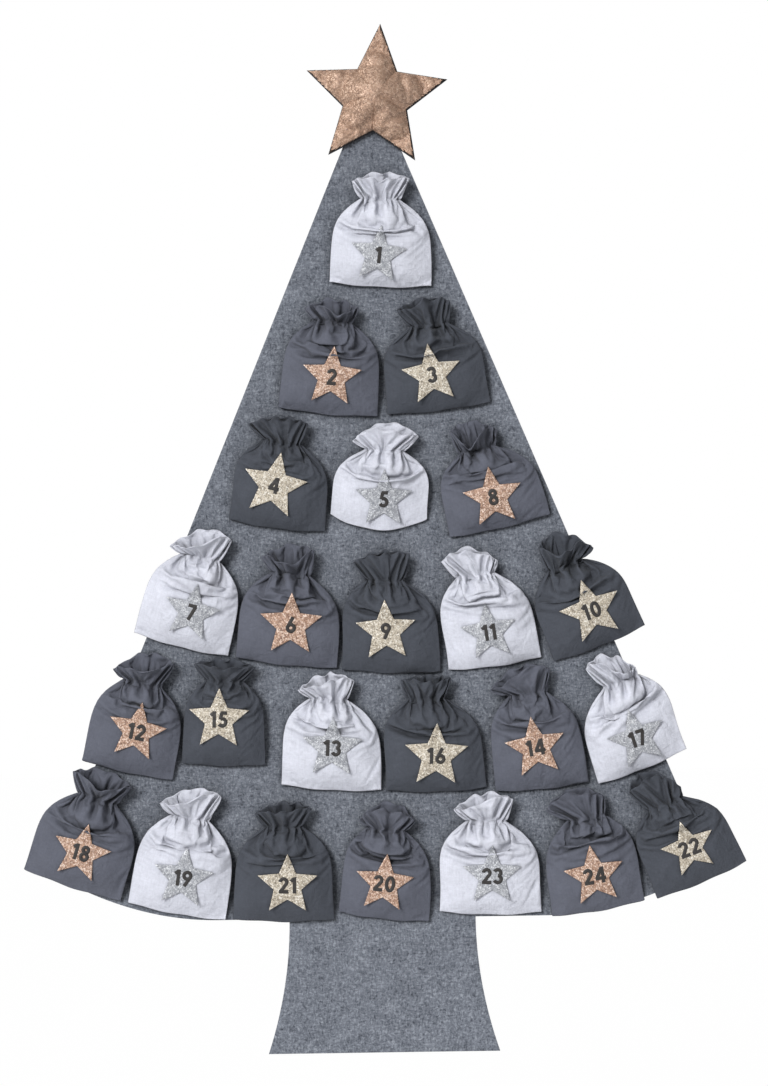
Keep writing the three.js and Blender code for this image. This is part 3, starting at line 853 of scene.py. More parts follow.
def neck_wave(bag, look, turn):
    """The gathers at a turn round the neck, below 0 in a valley and above 0 on a crest."""
    place = turn * bag["pleats"]
    fold = int(place) % bag["pleats"]
    within = place - int(place)
    lean = look["lean"][fold] * math.sin(math.pi * within) ** 2
    return look["size"][fold] * math.cos(2 * math.pi * (within + lean))


# Where the parts of the cloth are held, and how firmly, from 0 for free to 1 for fast. side and out are the
# point's directions round the neck, to the right and to the back.


def held_neck(bag, look, side, out, wave):
    neck_x, neck_z = bag["neck"]
    deep = (0.7 + 0.55 * wave) * look["neck_deep"]
    return (neck_x + (look["neck_half"] + 1.6 * wave) * side, NECK_PLANE + deep * out, neck_z), 1.0


def held_mouth(bag, side, out, wave):
    """The edge of the ruffle, whose front lip hangs down and leans forward."""
    (left_x, left_z), (right_x, right_z) = bag["left"], bag["right"]
    crest = bag["top"] - (left_z + right_z) / 2
    edge = lerp(left_z, right_z, (side + 1) / 2) + crest * (1 - side * side)
    low = 0
    if out < 0:
        low = bag["lip"] * math.exp(-(((side - bag["lip_side"]) / 0.75) ** 2)) * (1 - side**4)
    edge -= low
    spread = 4.5 + 5.0 * bag["opening"]
    half = (right_x - left_x) / 2
    x = (left_x + right_x) / 2 + (half - 1.5 + 1.5 * wave * out * out) * side
    lens = math.copysign(abs(out) ** 1.5, out)
    y = MOUTH_PLANE + spread * lens + 5.0 * wave * abs(out) * out - 0.35 * low
    return (x, y, edge + 1.6 * wave * out * out), 1.0


def held_seam(bag, across, height):
    """A side seam, which wanders a little from the outline."""
    t = height / bag["neck"][1]
    wobble = 1 + 0.012 * math.sin(5 * t + bag["day"]) * math.sin(math.pi * t)
    x = middle_line(bag, t) + math.copysign(side_half_width(bag, t) * wobble, across)
    return (x, SEAM_PLANE - 4.5 * ease(t, 0, 0.35), height), 1.0


def held_bottom(bag, across):
    """The bottom seam, which sags in the middle and ripples."""
    flat_x = across * bag["width"] / 2
    sag = bag["sag"] * (1 - across * across)
    ripple = 0.5 * math.sin(7 * across + 2 * bag["day"])
    return (0.998 * flat_x, SEAM_PLANE + 0.8 * math.sin(3 * across + bag["day"]), -sag + ripple), 1.0


def held_gathers(bag, look, across, side, out, wave, drop, reach):
    """The cloth that rolls forward under the neck. drop is its share of the way down to the flat front."""
    neck_z = bag["neck"][1]
    puff = noise.noise(Vector((2.3 * across, bag["day"] * 2.9, 0.4)))
    fall = min(1.32 * drop, 1.06 - 0.6 * max(0, drop - 0.8))
    height = neck_z - reach * (fall + 0.35 * across**2 + 0.55 * puff * drop)
    t = min(1, max(0, height / neck_z))
    half = lerp(look["neck_half"], side_half_width(bag, t), drop**0.7)
    roll = math.sin(math.pi * min(1, drop / 0.95)) ** 0.7
    deep = lerp(look["neck_deep"], look["belly"] - 2.5, drop) + (7 + 9 * puff) * roll * reach / FULL_REACH
    fold = (0.55 * look["neck_deep"] * (1 - drop) + 4.6 * roll) * wave
    x = middle_line(bag, t) + half * lerp(side, across, drop)
    return (x, GATHER_PLANE + (deep + fold) * out, height), 0.45 - 0.27 * drop**2


def held_front(bag, look, across, run, height):
    """The flat front round the star, let go towards its upper edge and its sides."""
    flat_x = across * bag["width"] / 2
    above = (height - bag["star"][1] - FLAT_TOP) / FLAT_FADE
    if above >= 1 or abs(across) >= 0.97:
        return None, 0.0
    away = max(0, above, abs(across) - 0.7)
    swell = look["belly"] * math.sqrt(max(0, 1 - abs(across) ** 3)) * (1 - math.exp(-max(0, run) / 9))
    dent = 1.1 * noise.noise(Vector((flat_x * 0.05, height * 0.05, bag["day"] * 3.7)))
    return (0.97 * flat_x, SEAM_PLANE - swell + dent, height), 0.4 * max(0, 1 - away) ** 0.7


def held_point(bag, look, turn, run, rows):
    """Where a point of the cloth is held, if it is, and how firmly.

    turn goes round the bag from its left seam by the front, and run is the height on the cut cloth. rows
    are the runs of the neck and of the ruffle's edge.
    """
    cut, full = rows
    angle = math.pi + 2 * math.pi * turn
    side, out = math.cos(angle), math.sin(angle)
    across, wave = across_bag(turn), neck_wave(bag, look, turn)
    if run == cut:
        return held_neck(bag, look, side, out, wave)
    if run == full:
        return held_mouth(bag, side, out, wave)
    if turn in (0, 0.5) and run < cut:
        return held_seam(bag, across, seam_height(bag, run, cut))
    if run == 0:
        return held_bottom(bag, across)
    if turn >= 0.5:
        return None, 0.0
    room = bag["neck"][1] - bag["star"][1] - FLAT_TOP - FLAT_FADE
    reach = min(look["fold_reach"], max(LEAST_REACH, room))
    drop = (cut - run) / (1.3 * reach)
    if 0 < drop <= 1:
        return held_gathers(bag, look, across, side, out, wave, drop, reach)
    return held_front(bag, look, across, run, seam_height(bag, run, cut) - 4 * min(1, run / 15))


def cut_cloth(bag, settings):
    """The bag's cloth as it is cut and sewn: a flat tube, closed along its bottom, with its held points."""
    rnd = random.Random(bag["day"])
    look = {
        "lean": [rnd.uniform(-0.22, 0.22) for _ in range(bag["pleats"])],
        "size": [rnd.uniform(0.35, 1.45) for _ in range(bag["pleats"])],
        "neck_half": settings.neck_half / MM,
        "neck_deep": settings.neck_depth / MM / 2,
        "belly": settings.belly / MM,
        "fold_reach": settings.fold_reach / MM,
    }
    columns, count = settings.columns, settings.rows
    cut = bag["neck"][1] * bag["slack"]
    full = cut + 0.95 * (bag["top"] - bag["neck"][1]) + 2
    neck_row = round(count * cut / full)
    runs = [cut * r / neck_row for r in range(neck_row)]
    runs += [lerp(cut, full, (r - neck_row) / (count - neck_row)) for r in range(neck_row, count + 1)]
    flat, goals, firmness, maps, rings = [], [], [], [], []
    for r, run in enumerate(runs):
        ring = []
        for i in range(columns):
            if r == 0 and i > columns // 2:
                ring.append(ring[columns - i])
                continue
            ring.append(len(flat))
            turn = i / columns
            across, side = across_bag(turn), -1 if turn < 0.5 else 1
            puff = 0 if r == 0 or i in (0, columns // 2) else 1.2 + 5 * (1 - across * across) * min(1, r / 8)
            seed = Vector((across * 1.1, run * 0.022, bag["day"] * 7.3 + side))
            crumple = 2.2 * noise.noise(seed) if r else 0
            longer = settings.spare * cut * (1 - across**2) * ease(run / cut, 0.4, 1) if turn < 0.5 else 0
            height = run + longer
            if r > neck_row:
                low, high = (Vector(held_point(bag, look, turn, end, (cut, full))[0]) for end in (cut, full))
                reach = RUFFLE_FULLNESS * (high - low).length
                height = cut + longer + reach * (r - neck_row) / (count - neck_row)
            flat.append((across * bag["width"] / 2, side * puff + CUT_PLANE + crumple, height))
            goal, firm = held_point(bag, look, turn, run, (cut, full))
            goals.append(goal or flat[-1])
            firmness.append(firm)
            maps.append((2 * bag["width"] * turn * MM, run * MM))
        rings.append(ring)
    faces = [
        tuple(dict.fromkeys(face)) for low, high in zip(rings, rings[1:]) for face in ring_faces(low, high)
    ]
    return {
        "flat": flat, "goals": goals, "firm": firmness, "maps": maps, "faces": faces, "rings": rings,
        "runs": runs, "neck_row": neck_row,
    }


def sewn_cloth(name, cloth, frames, sewn, pressure, gravity):
    """Cotton with air inside, whose held points are drawn to their places by a share of the frames."""
    obj = new_object(name, [Vector(p) * SIM for p in cloth["flat"]], cloth["faces"])
    obj.shape_key_add(name="cut")
    key = obj.shape_key_add(name="sewn")
    held = obj.vertex_groups.new(name="held")
    for k, (goal, firm) in enumerate(zip(cloth["goals"], cloth["firm"])):
        key.data[k].co = Vector(goal) * SIM
        if firm:
            held.add([k], firm, "REPLACE")
    for value, number in ((0, 1), (1, round(sewn * frames))):
        key.value = value
        key.keyframe_insert("value", frame=number)
    modifier = obj.modifiers.new("Cloth", "CLOTH")
    cotton = modifier.settings
    cotton.vertex_group_mass = "held"
    cotton.quality, cotton.mass, cotton.air_damping = 5, 0.15, 3
    cotton.tension_stiffness = cotton.compression_stiffness = 25
    cotton.shear_stiffness, cotton.bending_stiffness = 10, 0.3
    cotton.tension_damping = cotton.compression_damping = 5
    cotton.use_pressure, cotton.uniform_pressure_force = True, pressure
    cotton.effector_weights.gravity = gravity
    modifier.collision_settings.distance_min = 0.008
    modifier.collision_settings.use_self_collision = False
    modifier.point_cache.frame_start, modifier.point_cache.frame_end = 1, frames
    return obj


def settled(objects, frames):
    """The points of each cloth after the simulation, in millimetres. The objects are removed."""
    scene = bpy.context.scene
    scene.frame_end = frames
    for number in range(1, frames + 1):
        scene.frame_set(number)
    graph = bpy.context.evaluated_depsgraph_get()
    shapes = []
    for obj in objects:
        mesh = obj.evaluated_get(graph).data
        shapes.append([v.co / SIM for v in mesh.vertices])
    for obj in objects:
        bpy.data.objects.remove(obj, do_unlink=True)
    scene.frame_set(1)
    return shapes


def gather_bags(cloths, settings):
    """Lets every bag's cloth fall into folds while its neck, mouth and seams are drawn to their places."""
    bpy.ops.mesh.primitive_plane_add(size=40, rotation=(math.pi / 2, 0, 0))
    wall = bpy.context.object
    wall.modifiers.new("Wall", "COLLISION")
    wall.collision.thickness_outer = SIM
    objects = [
        sewn_cloth(f"work_{day}", cloth, settings.frames, 0.55, settings.pressure, settings.weight)
        for day, cloth in cloths.items()
    ]
    shapes = dict(zip(cloths, settled(objects, settings.frames)))
    bpy.data.objects.remove(wall, do_unlink=True)
    return shapes


def bag_mesh(cloth, shape, settings):
    """The finished bag in its own space: outside, turned hem, and the ruffle's inside down past the neck."""
    points, maps, faces = [Vector(p) for p in shape], list(cloth["maps"]), list(cloth["faces"])
    for p in points:
        p.y = min(p.y, BACK_LIMIT)
        if p.y < FRONT_LIMIT:
            p.y = FRONT_LIMIT + (p.y - FRONT_LIMIT) * 0.3
    normals = [Vector() for _ in points]
    for face in faces:
        a, b, c = (points[face[k]] for k in range(3))
        normal = (b - a).cross(c - a)
        for k in face:
            normals[k] += normal
    normals = [n.normalized() if n.length else Vector((0, -1, 0)) for n in normals]
    outside = [p.copy() for p in points]
    rings, runs = cloth["rings"], cloth["runs"]
    hem_rows = [r for r, run in enumerate(runs) if run > runs[-1] - settings.hem / MM]
    for r in hem_rows:
        for k in rings[r]:
            points[k] = outside[k] + normals[k] * HEM_STEP
    thick = settings.cloth_thickness / MM
    above, last, lowest = rings[-1], len(rings) - 1, cloth["neck_row"] - 2
    for r in range(last, lowest - 1, -1):
        deep = thick + (HEM_STEP if r in hem_rows else 0)
        tuck = Vector((0, 0, -0.3 if r == last else 0))
        below = range(len(points), len(points) + len(above))
        for k in rings[r]:
            points.append(outside[k] - normals[k] * deep + tuck)
            maps.append((cloth["maps"][k][0], 2 * runs[-1] * MM - cloth["maps"][k][1]))
        faces += ring_faces(above, below)
        above = below
    middle, columns = len(points), len(above)
    points.append(sum((points[k] for k in above), Vector()) / columns)
    maps.append(maps[above[0]])
    faces += [(above[i], above[(i + 1) % columns], middle) for i in range(columns)]
    return points, faces, maps


class CALENDAR_OT_bags(bpy.types.Operator):
    """Sew, gather and fill the 24 cotton bags by cloth simulation and hang them in their places"""

    bl_idname = "calendar.bags"
    bl_label = "Cotton bags"

    def execute(self, context):
        settings, back = context.scene.calendar_bags, bag_back(context.scene)
        cloths = {bag["day"]: cut_cloth(bag, settings) for bag in BAGS}
        shapes = gather_bags(cloths, settings)
        for bag in BAGS:
            number, kind = bag["number"], bag["cloth"]
            points, faces, maps = bag_mesh(cloths[bag["day"]], shapes[bag["day"]], settings)
            obj = new_object("bag_" + number, [placed(bag, p, back) for p in points], faces, maps)
            subdivided(obj)
            tint = getattr(settings, kind)
            material = cloth_material("woven_" + kind, tint, settings.thread, PAINTED_SHADE_SHARE[kind])
            finish_piece(obj, material, "bag_" + number, "cotton_" + kind, "pouch_" + number)
        return {"FINISHED"}


# Hook tape

# Rings of points of one hook, in millimetres: how far behind the bag, half width and lean
HOOK_RINGS = ((0.6, 0.28, 0), (1.15, 0.22, 0.12), (1.45, 0.2, 0.5))


def hook_tape(bag, bags, back):
    """Points and faces of a patch of hook tape: a thin band with hooks that stand towards the felt."""
    neck_x, neck_z = bag["neck"]
    up = neck_z - bags.hook_drop / MM
    middle = neck_x * (up / neck_z) ** 2
    half_w, half_h = bags.hook_width / MM / 2, bags.hook_height / MM / 2
    band, wide, tall = 0.7, 12, 9
    size = wide * tall

    def spot(i, j):
        return middle + (2 * i / (wide - 1) - 1) * half_w, up + (2 * j / (tall - 1) - 1) * half_h

    points, faces = [], []
    for depth in (0.0, band):
        for j in range(tall):
            for i in range(wide):
                x, z = spot(i, j)
                points.append(placed(bag, (x, depth, z), back))
    for j in range(tall - 1):
        for i in range(wide - 1):
            a = j * wide + i
            b = a + size
            faces.append((a, a + wide, a + wide + 1, a + 1))
            faces.append((b, b + 1, b + wide + 1, b + wide))
    rim = list(range(wide)) + [j * wide + wide - 1 for j in range(1, tall)]
    rim += [(tall - 1) * wide + i for i in range(wide - 2, -1, -1)]
    rim += [j * wide for j in range(tall - 2, 0, -1)]
    faces += ring_faces(rim, [a + size for a in rim])
    for j in range(1, tall - 1):
        for i in range(1, wide - 1):
            x, z = spot(i, j)
            first = len(points)
            for lift, half, lean in HOOK_RINGS:
                for a in range(4):
                    angle = math.pi / 4 + a * math.pi / 2
                    place = (x + (half * math.cos(angle) + lean), lift, z + half * math.sin(angle))
                    points.append(placed(bag, place, back))
            foot, bend, tip = (range(k, k + 4) for k in (first, first + 4, first + 8))
            faces += ring_faces(foot, bend) + ring_faces(bend, tip)
            faces += [(first, first + 3, first + 2, first + 1), tuple(tip)]
    return points, faces


class CALENDAR_OT_hooks(bpy.types.Operator):
    """Sew a patch of hook tape on the back of each bag"""

    bl_idname = "calendar.hooks"
    bl_label = "Hook tape"

    def execute(self, context):
        bags, back = context.scene.calendar_bags, bag_back(context.scene)
        material = plain_material("hooks", bags.hooks, 0.6)
        for bag in BAGS:
            obj = recalculated(new_object("hook_tape_" + bag["number"], *hook_tape(bag, bags, back)))
            finish_piece(obj, material, "bag_" + bag["number"], "cotton_" + bag["cloth"])
        return {"FINISHED"}


# Star patches and numbers


def star_grid(radius, notch, rows, arm_steps):
    """Points of a star, ring by ring, and the faces between them, seen from the front."""
    sides = 10 * arm_steps
    points, faces = [(0.0, 0.0)], []
    for row in range(1, rows + 1):
        for i in range(sides):
            angle = 2 * math.pi * i / sides
            reach = star_reach(radius, notch, angle) * row / rows
            points.append((reach * math.sin(angle), reach * math.cos(angle)))
    for i in range(sides):
        faces.append((0, 1 + i, 1 + (i + 1) % sides))
    for row in range(rows - 1):
        for i in range(sides):
            a, b = 1 + row * sides + i, 1 + row * sides + (i + 1) % sides
            faces.append((a, a + sides, b + sides, b))
    return points, faces, sides


def surface_tree(obj):
    graph = bpy.context.evaluated_depsgraph_get()
    return BVHTree.FromObject(obj, graph)


def front_depth(tree, x, z, default):
    hit = tree.ray_cast(Vector((x, -0.2, z)), Vector((0, 1, 0)))
    return hit[0].y if hit[0] is not None else default


def smoothed(values, links, rounds, strength=0.6):
    for _ in range(rounds):
        values = [
            lerp(v, sum(values[k] for k in near) / len(near), strength) if near else v
            for v, near in zip(values, links)
        ]
    return values


def on_star(bag, across, up, back):
    """A point of the bag's star, from the star's middle, put in its place on the tree, in metres."""
    x, z = turned(bag["star"], bag["turn"], across, up)
    return placed(bag, (x, 0, z), back)


def neighbours(count, faces):
    links = [set() for _ in range(count)]
    for face in faces:
        for k, a in enumerate(face):
            b = face[(k + 1) % len(face)]
            links[a].add(b)
            links[b].add(a)
    return links


def shell_faces(faces, count, sides):
    """The faces of a thin star, from those of its flat grid: front, back and the rim between them."""
    front = [tuple(reversed(face)) for face in faces]
    back = [tuple(k + count for k in face) for face in faces]
    return front + back + ring_faces(range(count - sides, count), range(2 * count - sides, 2 * count))


class CALENDAR_OT_patches(bpy.types.Operator):
    """Iron a glitter star on the front of each bag"""

    bl_idname = "calendar.patches"
    bl_label = "Star patches"

    def execute(self, context):
        stars, back = context.scene.calendar_stars, bag_back(context.scene)
        gap, most_curl = 0.15 * MM, 0.9
        for bag in BAGS:
            number, kind = bag["number"], STAR_OF[bag["cloth"]]
            radius = bag["star_width"] / 2 / math.cos(math.pi / 10)
            grid, faces, sides = star_grid(radius, stars.notch, 9, 8)
            places = [on_star(bag, u, v, back) for u, v in grid]
            links = neighbours(len(grid), faces)
            cloth = surface_tree(bpy.data.objects["bag_" + number])
            under = [front_depth(cloth, p.x, p.z, -20 * MM) for p in places]
            rest = under
            for rounds, strength, least in ((14, 0.6, 0.1 * MM), (3, 0.5, gap)):
                rest = smoothed(rest, links, rounds, strength)
                rest = [min(a, b - least) for a, b in zip(rest, under)]
            rnd = random.Random(100 + bag["day"])
            curl = [rnd.uniform(0, most_curl) for _ in range(5)]
            points = []
            for layer in (stars.thickness + gap, gap):
                for p, (u, v), depth in zip(places, grid, rest):
                    reach = math.hypot(u, v) / radius
                    arm = round(math.atan2(u, v) / (2 * math.pi / 5)) % 5
                    lift = curl[arm] * MM * max(0, reach - 0.5) ** 2 * 4
                    points.append((p.x, depth - layer - lift, p.z))
            shell = shell_faces(faces, len(grid), sides)
            obj = recalculated(new_object("star_" + number, points, shell))
            add_bevel(obj, 0.2 * MM, 1, 60)
            applied(obj)
            tints = [getattr(stars, kind + part) for part in ("_dark", "", "_light")]
            material = glitter_material("flakes_" + kind, *tints, stars.flake)
            finish_piece(obj, material, "bag_" + number, "glitter_" + kind, "star_patch_" + number)
        return {"FINISHED"}


def arc(x, y, radius, start, end, tall=None):
    """Points along an arc, with angles in degrees."""
    steps = max(3, round(abs(end - start) / 14))
    angles = [math.radians(lerp(start, end, i / steps)) for i in range(steps + 1)]
    return [(x + radius * math.cos(a), y + (tall or radius) * math.sin(a)) for a in angles]


# Middle lines of the strokes of each digit, one unit tall, and the digit's width
DIGITS = {
    "0": (0.62, [arc(0.31, 0.5, 0.21, 0, 360, 0.4)]),
    "1": (0.36, [[(0.25, 0), (0.25, 1)], [(0.02, 0.74), (0.2, 0.89)]]),
    "2": (0.58, [arc(0.29, 0.69, 0.2, 175, -38) + [(0.1, 0.1)], [(0.01, 0.1), (0.58, 0.1)]]),
    "3": (0.56, [arc(0.26, 0.7, 0.19, 160, -85), arc(0.26, 0.31, 0.21, 85, -160)]),
    "4": (0.66, [[(0.47, 0), (0.47, 1)], [(0.42, 0.92), (0.08, 0.3)], [(0.0, 0.3), (0.66, 0.3)]]),
    "5": (0.56, [[(0.14, 0.9), (0.53, 0.9)], [(0.2, 0.9), (0.14, 0.5)], arc(0.25, 0.33, 0.22, 120, -150)]),
    "6": (0.6, [arc(0.3, 0.31, 0.21, 0, 360), [(0.12, 0.4), (0.42, 0.98)]]),
    "7": (0.56, [[(0.0, 0.9), (0.52, 0.9)], [(0.46, 0.88), (0.17, 0)]]),
    "8": (0.6, [arc(0.3, 0.74, 0.165, 0, 360), arc(0.3, 0.3, 0.2, 0, 360)]),
    "9": (0.6, [arc(0.3, 0.69, 0.21, 0, 360), [(0.48, 0.6), (0.18, 0.02)]]),
}
STROKE = 0.215
DIGIT_GAP = 0.13


def stroke_band(path):
    """The two sides of a stroke of even width along a path, mitred at its corners."""
    closed = math.dist(path[0], path[-1]) < 1e-6
    ring = path[:-1] if closed else path
    count, left, right = len(ring), [], []
    for i, (x, y) in enumerate(ring):
        before = ring[i - 1] if closed or i else None
        after = ring[(i + 1) % count] if closed or i < count - 1 else None
        sides = []
        for a, b in ((before, (x, y)), ((x, y), after)):
            if a and b:
                run = math.dist(a, b)
                sides.append(((a[1] - b[1]) / run, (b[0] - a[0]) / run))
        nx, ny = (sum(side[k] for side in sides) for k in (0, 1))
        size = math.hypot(nx, ny)
        reach = STROKE / 2 * len(sides) / max(size * size / len(sides), 0.4) ** 0.5 / len(sides) ** 0.5
        left.append((x + nx / size * reach, y + ny / size * reach))
        right.append((x - nx / size * reach, y - ny / size * reach))
    return left, right, closed


def number_plan(text):
    """Points and faces of a number in its own plane, one unit tall, with its middle at the origin."""
    points, faces, pen = [], [], 0.0
    for character in text:
        width, strokes = DIGITS[character]
        for path in strokes:
            left, right, closed = stroke_band(path)
            first, count = len(points), len(left)
            points += [(pen + x, y) for x, y in left] + [(pen + x, y) for x, y in right]
            for i in range(count if closed else count - 1):
                j = (i + 1) % count
                faces.append((first + i, first + count + i, first + count + j, first + j))
        pen += width + DIGIT_GAP
    middle = (pen - DIGIT_GAP) / 2
    return [(x - middle, y - 0.5) for x, y in points], faces


class CALENDAR_OT_numbers(bpy.types.Operator):
    """Print each bag's number on its star"""

    bl_idname = "calendar.numbers"
    bl_label = "Numbers"

    def execute(self, context):
        stars, back = context.scene.calendar_stars, bag_back(context.scene)
        longest, gap, print_thickness = 1.8 * MM, 0.05 * MM, 0.15 * MM
        for bag in BAGS:
            name = "number_" + bag["number"]
            plan, faces = number_plan(str(bag["day"]))
            star = surface_tree(bpy.data.objects["star_" + bag["number"]])
            work = bmesh.new()
            for x, y in plan:
                work.verts.new(on_star(bag, x * stars.digit / MM, y * stars.digit / MM, back))
            work.verts.ensure_lookup_table()
            for face in faces:
                work.faces.new([work.verts[k] for k in face])
            bmesh.ops.triangulate(work, faces=work.faces)
            for _ in range(4):
                long = [edge for edge in work.edges if edge.calc_length() > longest]
                if not long:
                    break
                bmesh.ops.subdivide_edges(work, edges=long, cuts=1)
                bmesh.ops.triangulate(work, faces=work.faces)
            for v in work.verts:
                v.co.y = front_depth(star, v.co.x, v.co.z, -30 * MM) - gap
            for face in work.faces:
                if face.normal.y > 0:
                    face.normal_flip()
            raised = bmesh.ops.extrude_face_region(work, geom=list(work.faces), use_keep_orig=True)
            for item in raised["geom"]:
                if isinstance(item, bmesh.types.BMVert):
                    item.co.y -= print_thickness
            bmesh.ops.recalc_face_normals(work, faces=work.faces)
            mesh = bpy.data.meshes.new(name)
            work.to_mesh(mesh)
            work.free()
            material = plain_material("number_ink", stars.ink, 0.55, 2500.0, 0.03 * MM)
            slot = "glitter_" + STAR_OF[bag["cloth"]]
            finish_piece(add_object(name, mesh), material, "bag_" + bag["number"], slot)
        return {"FINISHED"}


# Top star


def topper_place(topper, across, depth, up, back):
    x, z = turned((topper.across, topper.up), topper.tilt, across, up)
    return Vector((x, back + depth, z))


# Creases of the stuffed star: both ends across and up from its middle, in millimetres, and how deep they go
CREASES = (
    ((31, -8), (7, 0), 0.42),
    ((-10, -31), (8, -14), 0.4),
    ((19, 26), (0, 24), 0.16),
    ((-30, -9), (-14, -8), 0.14),
)


def crease_depth(u, v):
    """Share by which the stuffing is pressed in at a point of the star."""
    pressed = 0.0
    for a, b, depth in CREASES:
        along = Vector(b) - Vector(a)
        place = min(1, max(0, (Vector((u, v)) - Vector(a)).dot(along) / along.length_squared))
        away = (Vector((u, v)) - Vector(a) - place * along).length
        pressed += depth * (1 - 0.6 * place) * math.exp(-((away / 4.2) ** 2))
    return min(0.6, pressed)


def stuffed_star(topper, frames):
    """Points and faces of the stuffed front, in millimetres.

    Its cloth is cut larger than the star, drawn in by its seam and blown up. A flat cloth behind closes it.
    """
    radius, crown, spare = topper.radius / MM, topper.crown / MM, 1.07
    grid, faces, sides = star_grid(radius, topper.notch, 24, 14)
    count, edge = len(grid), len(grid) - sides
    shares = [math.hypot(u, v) / star_reach(radius, topper.notch, math.atan2(u, v)) for u, v in grid]
    goals = [(u, 0.0, v) for u, v in grid] + [(0.0, 0.8, 0.0)]
    every = [tuple(reversed(f)) for f in faces]
    every += [(edge + i, edge + (i + 1) % sides, count) for i in range(sides)]
    cut = []
    for (u, v), share in zip(grid, shares):
        crumple = 0.7 * noise.noise(Vector((u * 0.06, v * 0.06, 9.0))) if share < 0.97 else 0
        cut.append((spare * u, -1.5 * (1 - share) + crumple, spare * v))
    cut.append((0.0, 1.0, 0.0))
    cloth = {"flat": cut, "goals": goals, "firm": [0] * edge + [1.0] * (sides + 1), "faces": every}
    (shape,) = settled([sewn_cloth("work_star", cloth, frames, 0.5, pressure=4.5, gravity=0)], frames)
    highest = -min(p.y for p in shape)
    for p in shape[:count]:
        p.y *= crown / highest * (1 - crease_depth(p.x, p.z))
    return shape, every


class CALENDAR_OT_topper(bpy.types.Operator):
    """Stuff the glitter star, with its seam, its creases and its dark backing"""

    bl_idname = "calendar.topper"
    bl_label = "Top star"

    def execute(self, context):
        scene = context.scene
        topper, tape, felt = scene.calendar_topper, scene.calendar_tape, scene.calendar_felt
        back = -(felt.thickness + SEAT * MM + tape.thickness + SEAT * MM)
        deep = topper.cloth_thickness
        seam = -(deep + SEAT * MM)
        # The front sits a little up and to the left, so that more of the backing shows at the lower right
        left, higher = 0.4, 0.4
        shape, every = stuffed_star(topper, scene.calendar_bags.frames)
        points = [
            topper_place(topper, (p.x - left) * MM, seam - deep + p.y * MM, (p.z + higher) * MM, back)
            for p in shape
        ]
        front = recalculated(new_object("topper_front_cloth", points, every))
        sharp = front.data.attributes.new("crease_vert", "FLOAT", "POINT")
        for vertex in front.data.vertices:
            sharp.data[vertex.index].value = 1.0 if vertex.co.y > back + seam - deep - 0.01 * MM else 0.0
        subdivided(front, "PRESERVE_CORNERS")
        flake = 0.9 * scene.calendar_stars.flake
        material = glitter_material("flakes_rose", topper.dark, topper.body, topper.light, flake)
        finish_piece(front, material, "tree", "glitter_rose", "topper_front", "topper_filling")

        grid, faces, sides = star_grid(topper.radius + topper.backing_edge, topper.notch, 6, 8)
        points = [topper_place(topper, u, depth, v, back) for depth in (-deep, 0) for u, v in grid]
        maps = [(p.x, p.z) for p in points]
        shell = shell_faces(faces, len(grid), sides)
        backing = recalculated(new_object("topper_backing", points, shell, maps))
        material = cloth_material("woven_backing", topper.backing, 0.7 * MM)
        finish_piece(backing, material, "tree", "backing", "topper_back")
        return {"FINISHED"}


# Stage


def seen_by_camera(tree, other_ray):
    """A mask that is 1 for the camera's rays and for one other kind."""
    rays = add_node(tree, "ShaderNodeLightPath").outputs
    return math_node(tree, "MAXIMUM", rays["Is Camera Ray"], rays[other_ray])


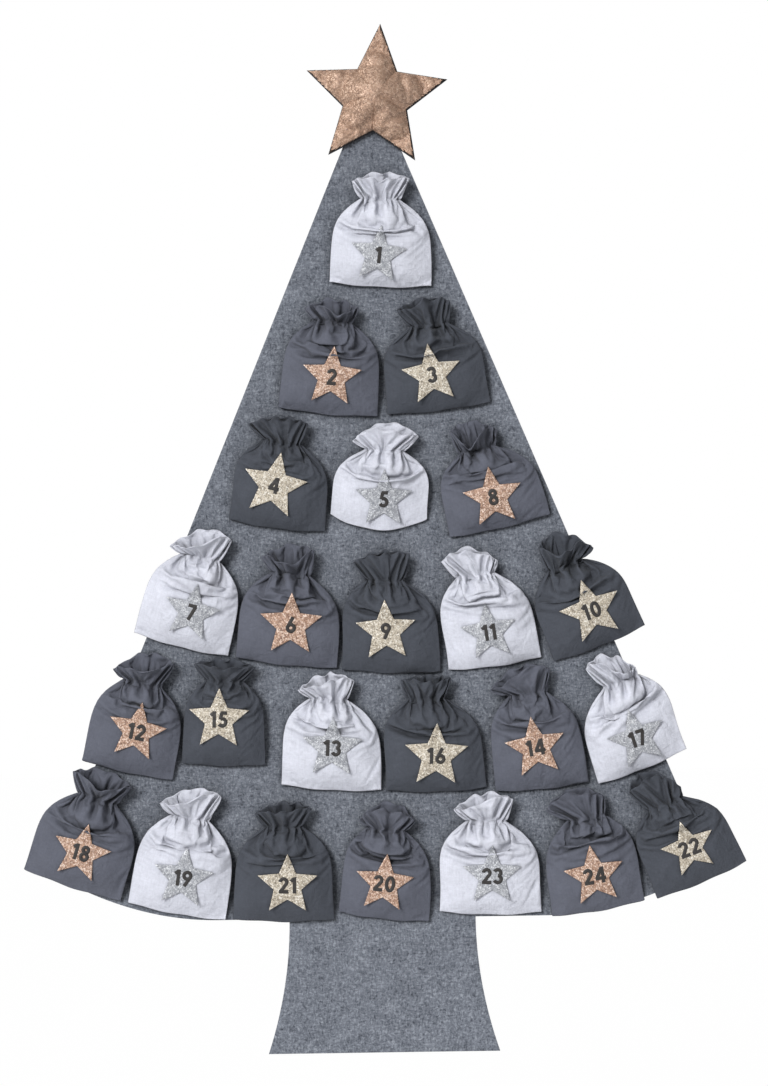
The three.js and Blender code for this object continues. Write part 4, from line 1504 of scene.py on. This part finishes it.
class CALENDAR_OT_stage(bpy.types.Operator):
    """Set the camera, the floor and the lights"""

    bl_idname = "calendar.stage"
    bl_label = "Stage"

    def execute(self, context):
        scene, stage, sensor = context.scene, context.scene.calendar_stage, 36
        camera = add_object("camera", bpy.data.cameras.new("camera"))
        camera.data.sensor_width = sensor
        camera.data.lens = sensor / 2 / (stage.frame_height / 2 / stage.distance)
        aim = Vector((stage.aim_x, -scene.calendar_felt.thickness, stage.aim_z))
        turn = Matrix.Rotation(math.pi / 2, 4, "X") @ Matrix.Rotation(math.radians(-stage.roll), 4, "Z")
        camera.matrix_world = Matrix.Translation(aim + Vector((0, -stage.distance, 0))) @ turn
        scene.camera = camera

        corners = [(x, y, -stage.floor_drop) for x, y in ((-6, -6), (6, -6), (6, 6), (-6, 6))]
        floor = new_object("floor", corners, [(0, 1, 2, 3)])
        values = {"Roughness": 0.9, "Base Color": (0.9, 0.9, 0.9, 1)}
        material, tree, shader = new_material("floor", values)
        seen = math_node(tree, "MULTIPLY", seen_by_camera(tree, "Is Glossy Ray"), 0.99)
        glow = add_node(tree, "ShaderNodeEmission", {"Color": (1, 1, 1, 1), "Strength": 1.0})
        mixed = {0: seen, 1: shader.outputs["BSDF"], 2: glow.outputs[0]}
        shown = add_node(tree, "ShaderNodeMixShader", mixed).outputs[0]
        set_inputs(tree, tree.nodes["Material Output"], {"Surface": shown})
        floor.data.materials.append(material)

        world = bpy.data.worlds.new("studio")
        scene.world = world
        world.use_nodes = True
        tree = world.node_tree
        around = tree.nodes["Background"]
        set_inputs(tree, around, {"Color": (0.97, 0.985, 1.0, 1), "Strength": stage.fill})
        white = add_node(tree, "ShaderNodeBackground", {"Color": (1, 1, 1, 1), "Strength": 1.0})
        mixed = {0: seen_by_camera(tree, "Is Transmission Ray"), 1: around.outputs[0], 2: white.outputs[0]}
        shown = add_node(tree, "ShaderNodeMixShader", mixed).outputs[0]
        set_inputs(tree, tree.nodes["World Output"], {"Surface": shown})

        for name, power, angle, towards in (
            ("key", stage.key, 24, (0.62, 1.0, -0.5)),
            ("front", 0.1 * stage.key, 70, (-0.4, 1.0, -0.3)),
            ("back", 0.3 * stage.key, 60, (0.3, -1.0, -0.5)),
        ):
            lamp = bpy.data.lights.new(name, "SUN")
            lamp.energy, lamp.angle = power, math.radians(angle)
            holder = add_object(name, lamp)
            holder.rotation_euler = Vector(towards).to_track_quat("-Z", "Y").to_euler()
        scene.view_settings.view_transform = "Standard"
        return {"FINISHED"}


class CALENDAR_PT_panel(bpy.types.Panel):
    bl_label = "Tree advent calendar"
    bl_idname = "CALENDAR_PT_panel"
    bl_space_type = "VIEW_3D"
    bl_region_type = "UI"
    bl_category = "Calendar"

    def draw(self, context):
        for operator in OPERATORS:
            self.layout.operator(operator.bl_idname)
        for name, group in GROUPS.items():
            box = self.layout.box()
            box.label(text=group.__name__)
            for key in group.__annotations__:
                box.prop(getattr(context.scene, name), key)


OPERATORS = (
    CALENDAR_OT_stage,
    CALENDAR_OT_felt,
    CALENDAR_OT_loop,
    CALENDAR_OT_bags,
    CALENDAR_OT_hooks,
    CALENDAR_OT_patches,
    CALENDAR_OT_numbers,
    CALENDAR_OT_topper,
)


def register():
    for kind in (*GROUPS.values(), *OPERATORS, CALENDAR_PT_panel):
        bpy.utils.register_class(kind)
    for name, group in GROUPS.items():
        setattr(bpy.types.Scene, name, PointerProperty(type=group))


def unregister():
    for name in GROUPS:
        delattr(bpy.types.Scene, name)
    for kind in reversed((*GROUPS.values(), *OPERATORS, CALENDAR_PT_panel)):
        bpy.utils.unregister_class(kind)


def main():
    register()
    for operator in OPERATORS:
        group, name = operator.bl_idname.split(".")
        getattr(getattr(bpy.ops, group), name)()


if __name__ == "__main__":
    main()
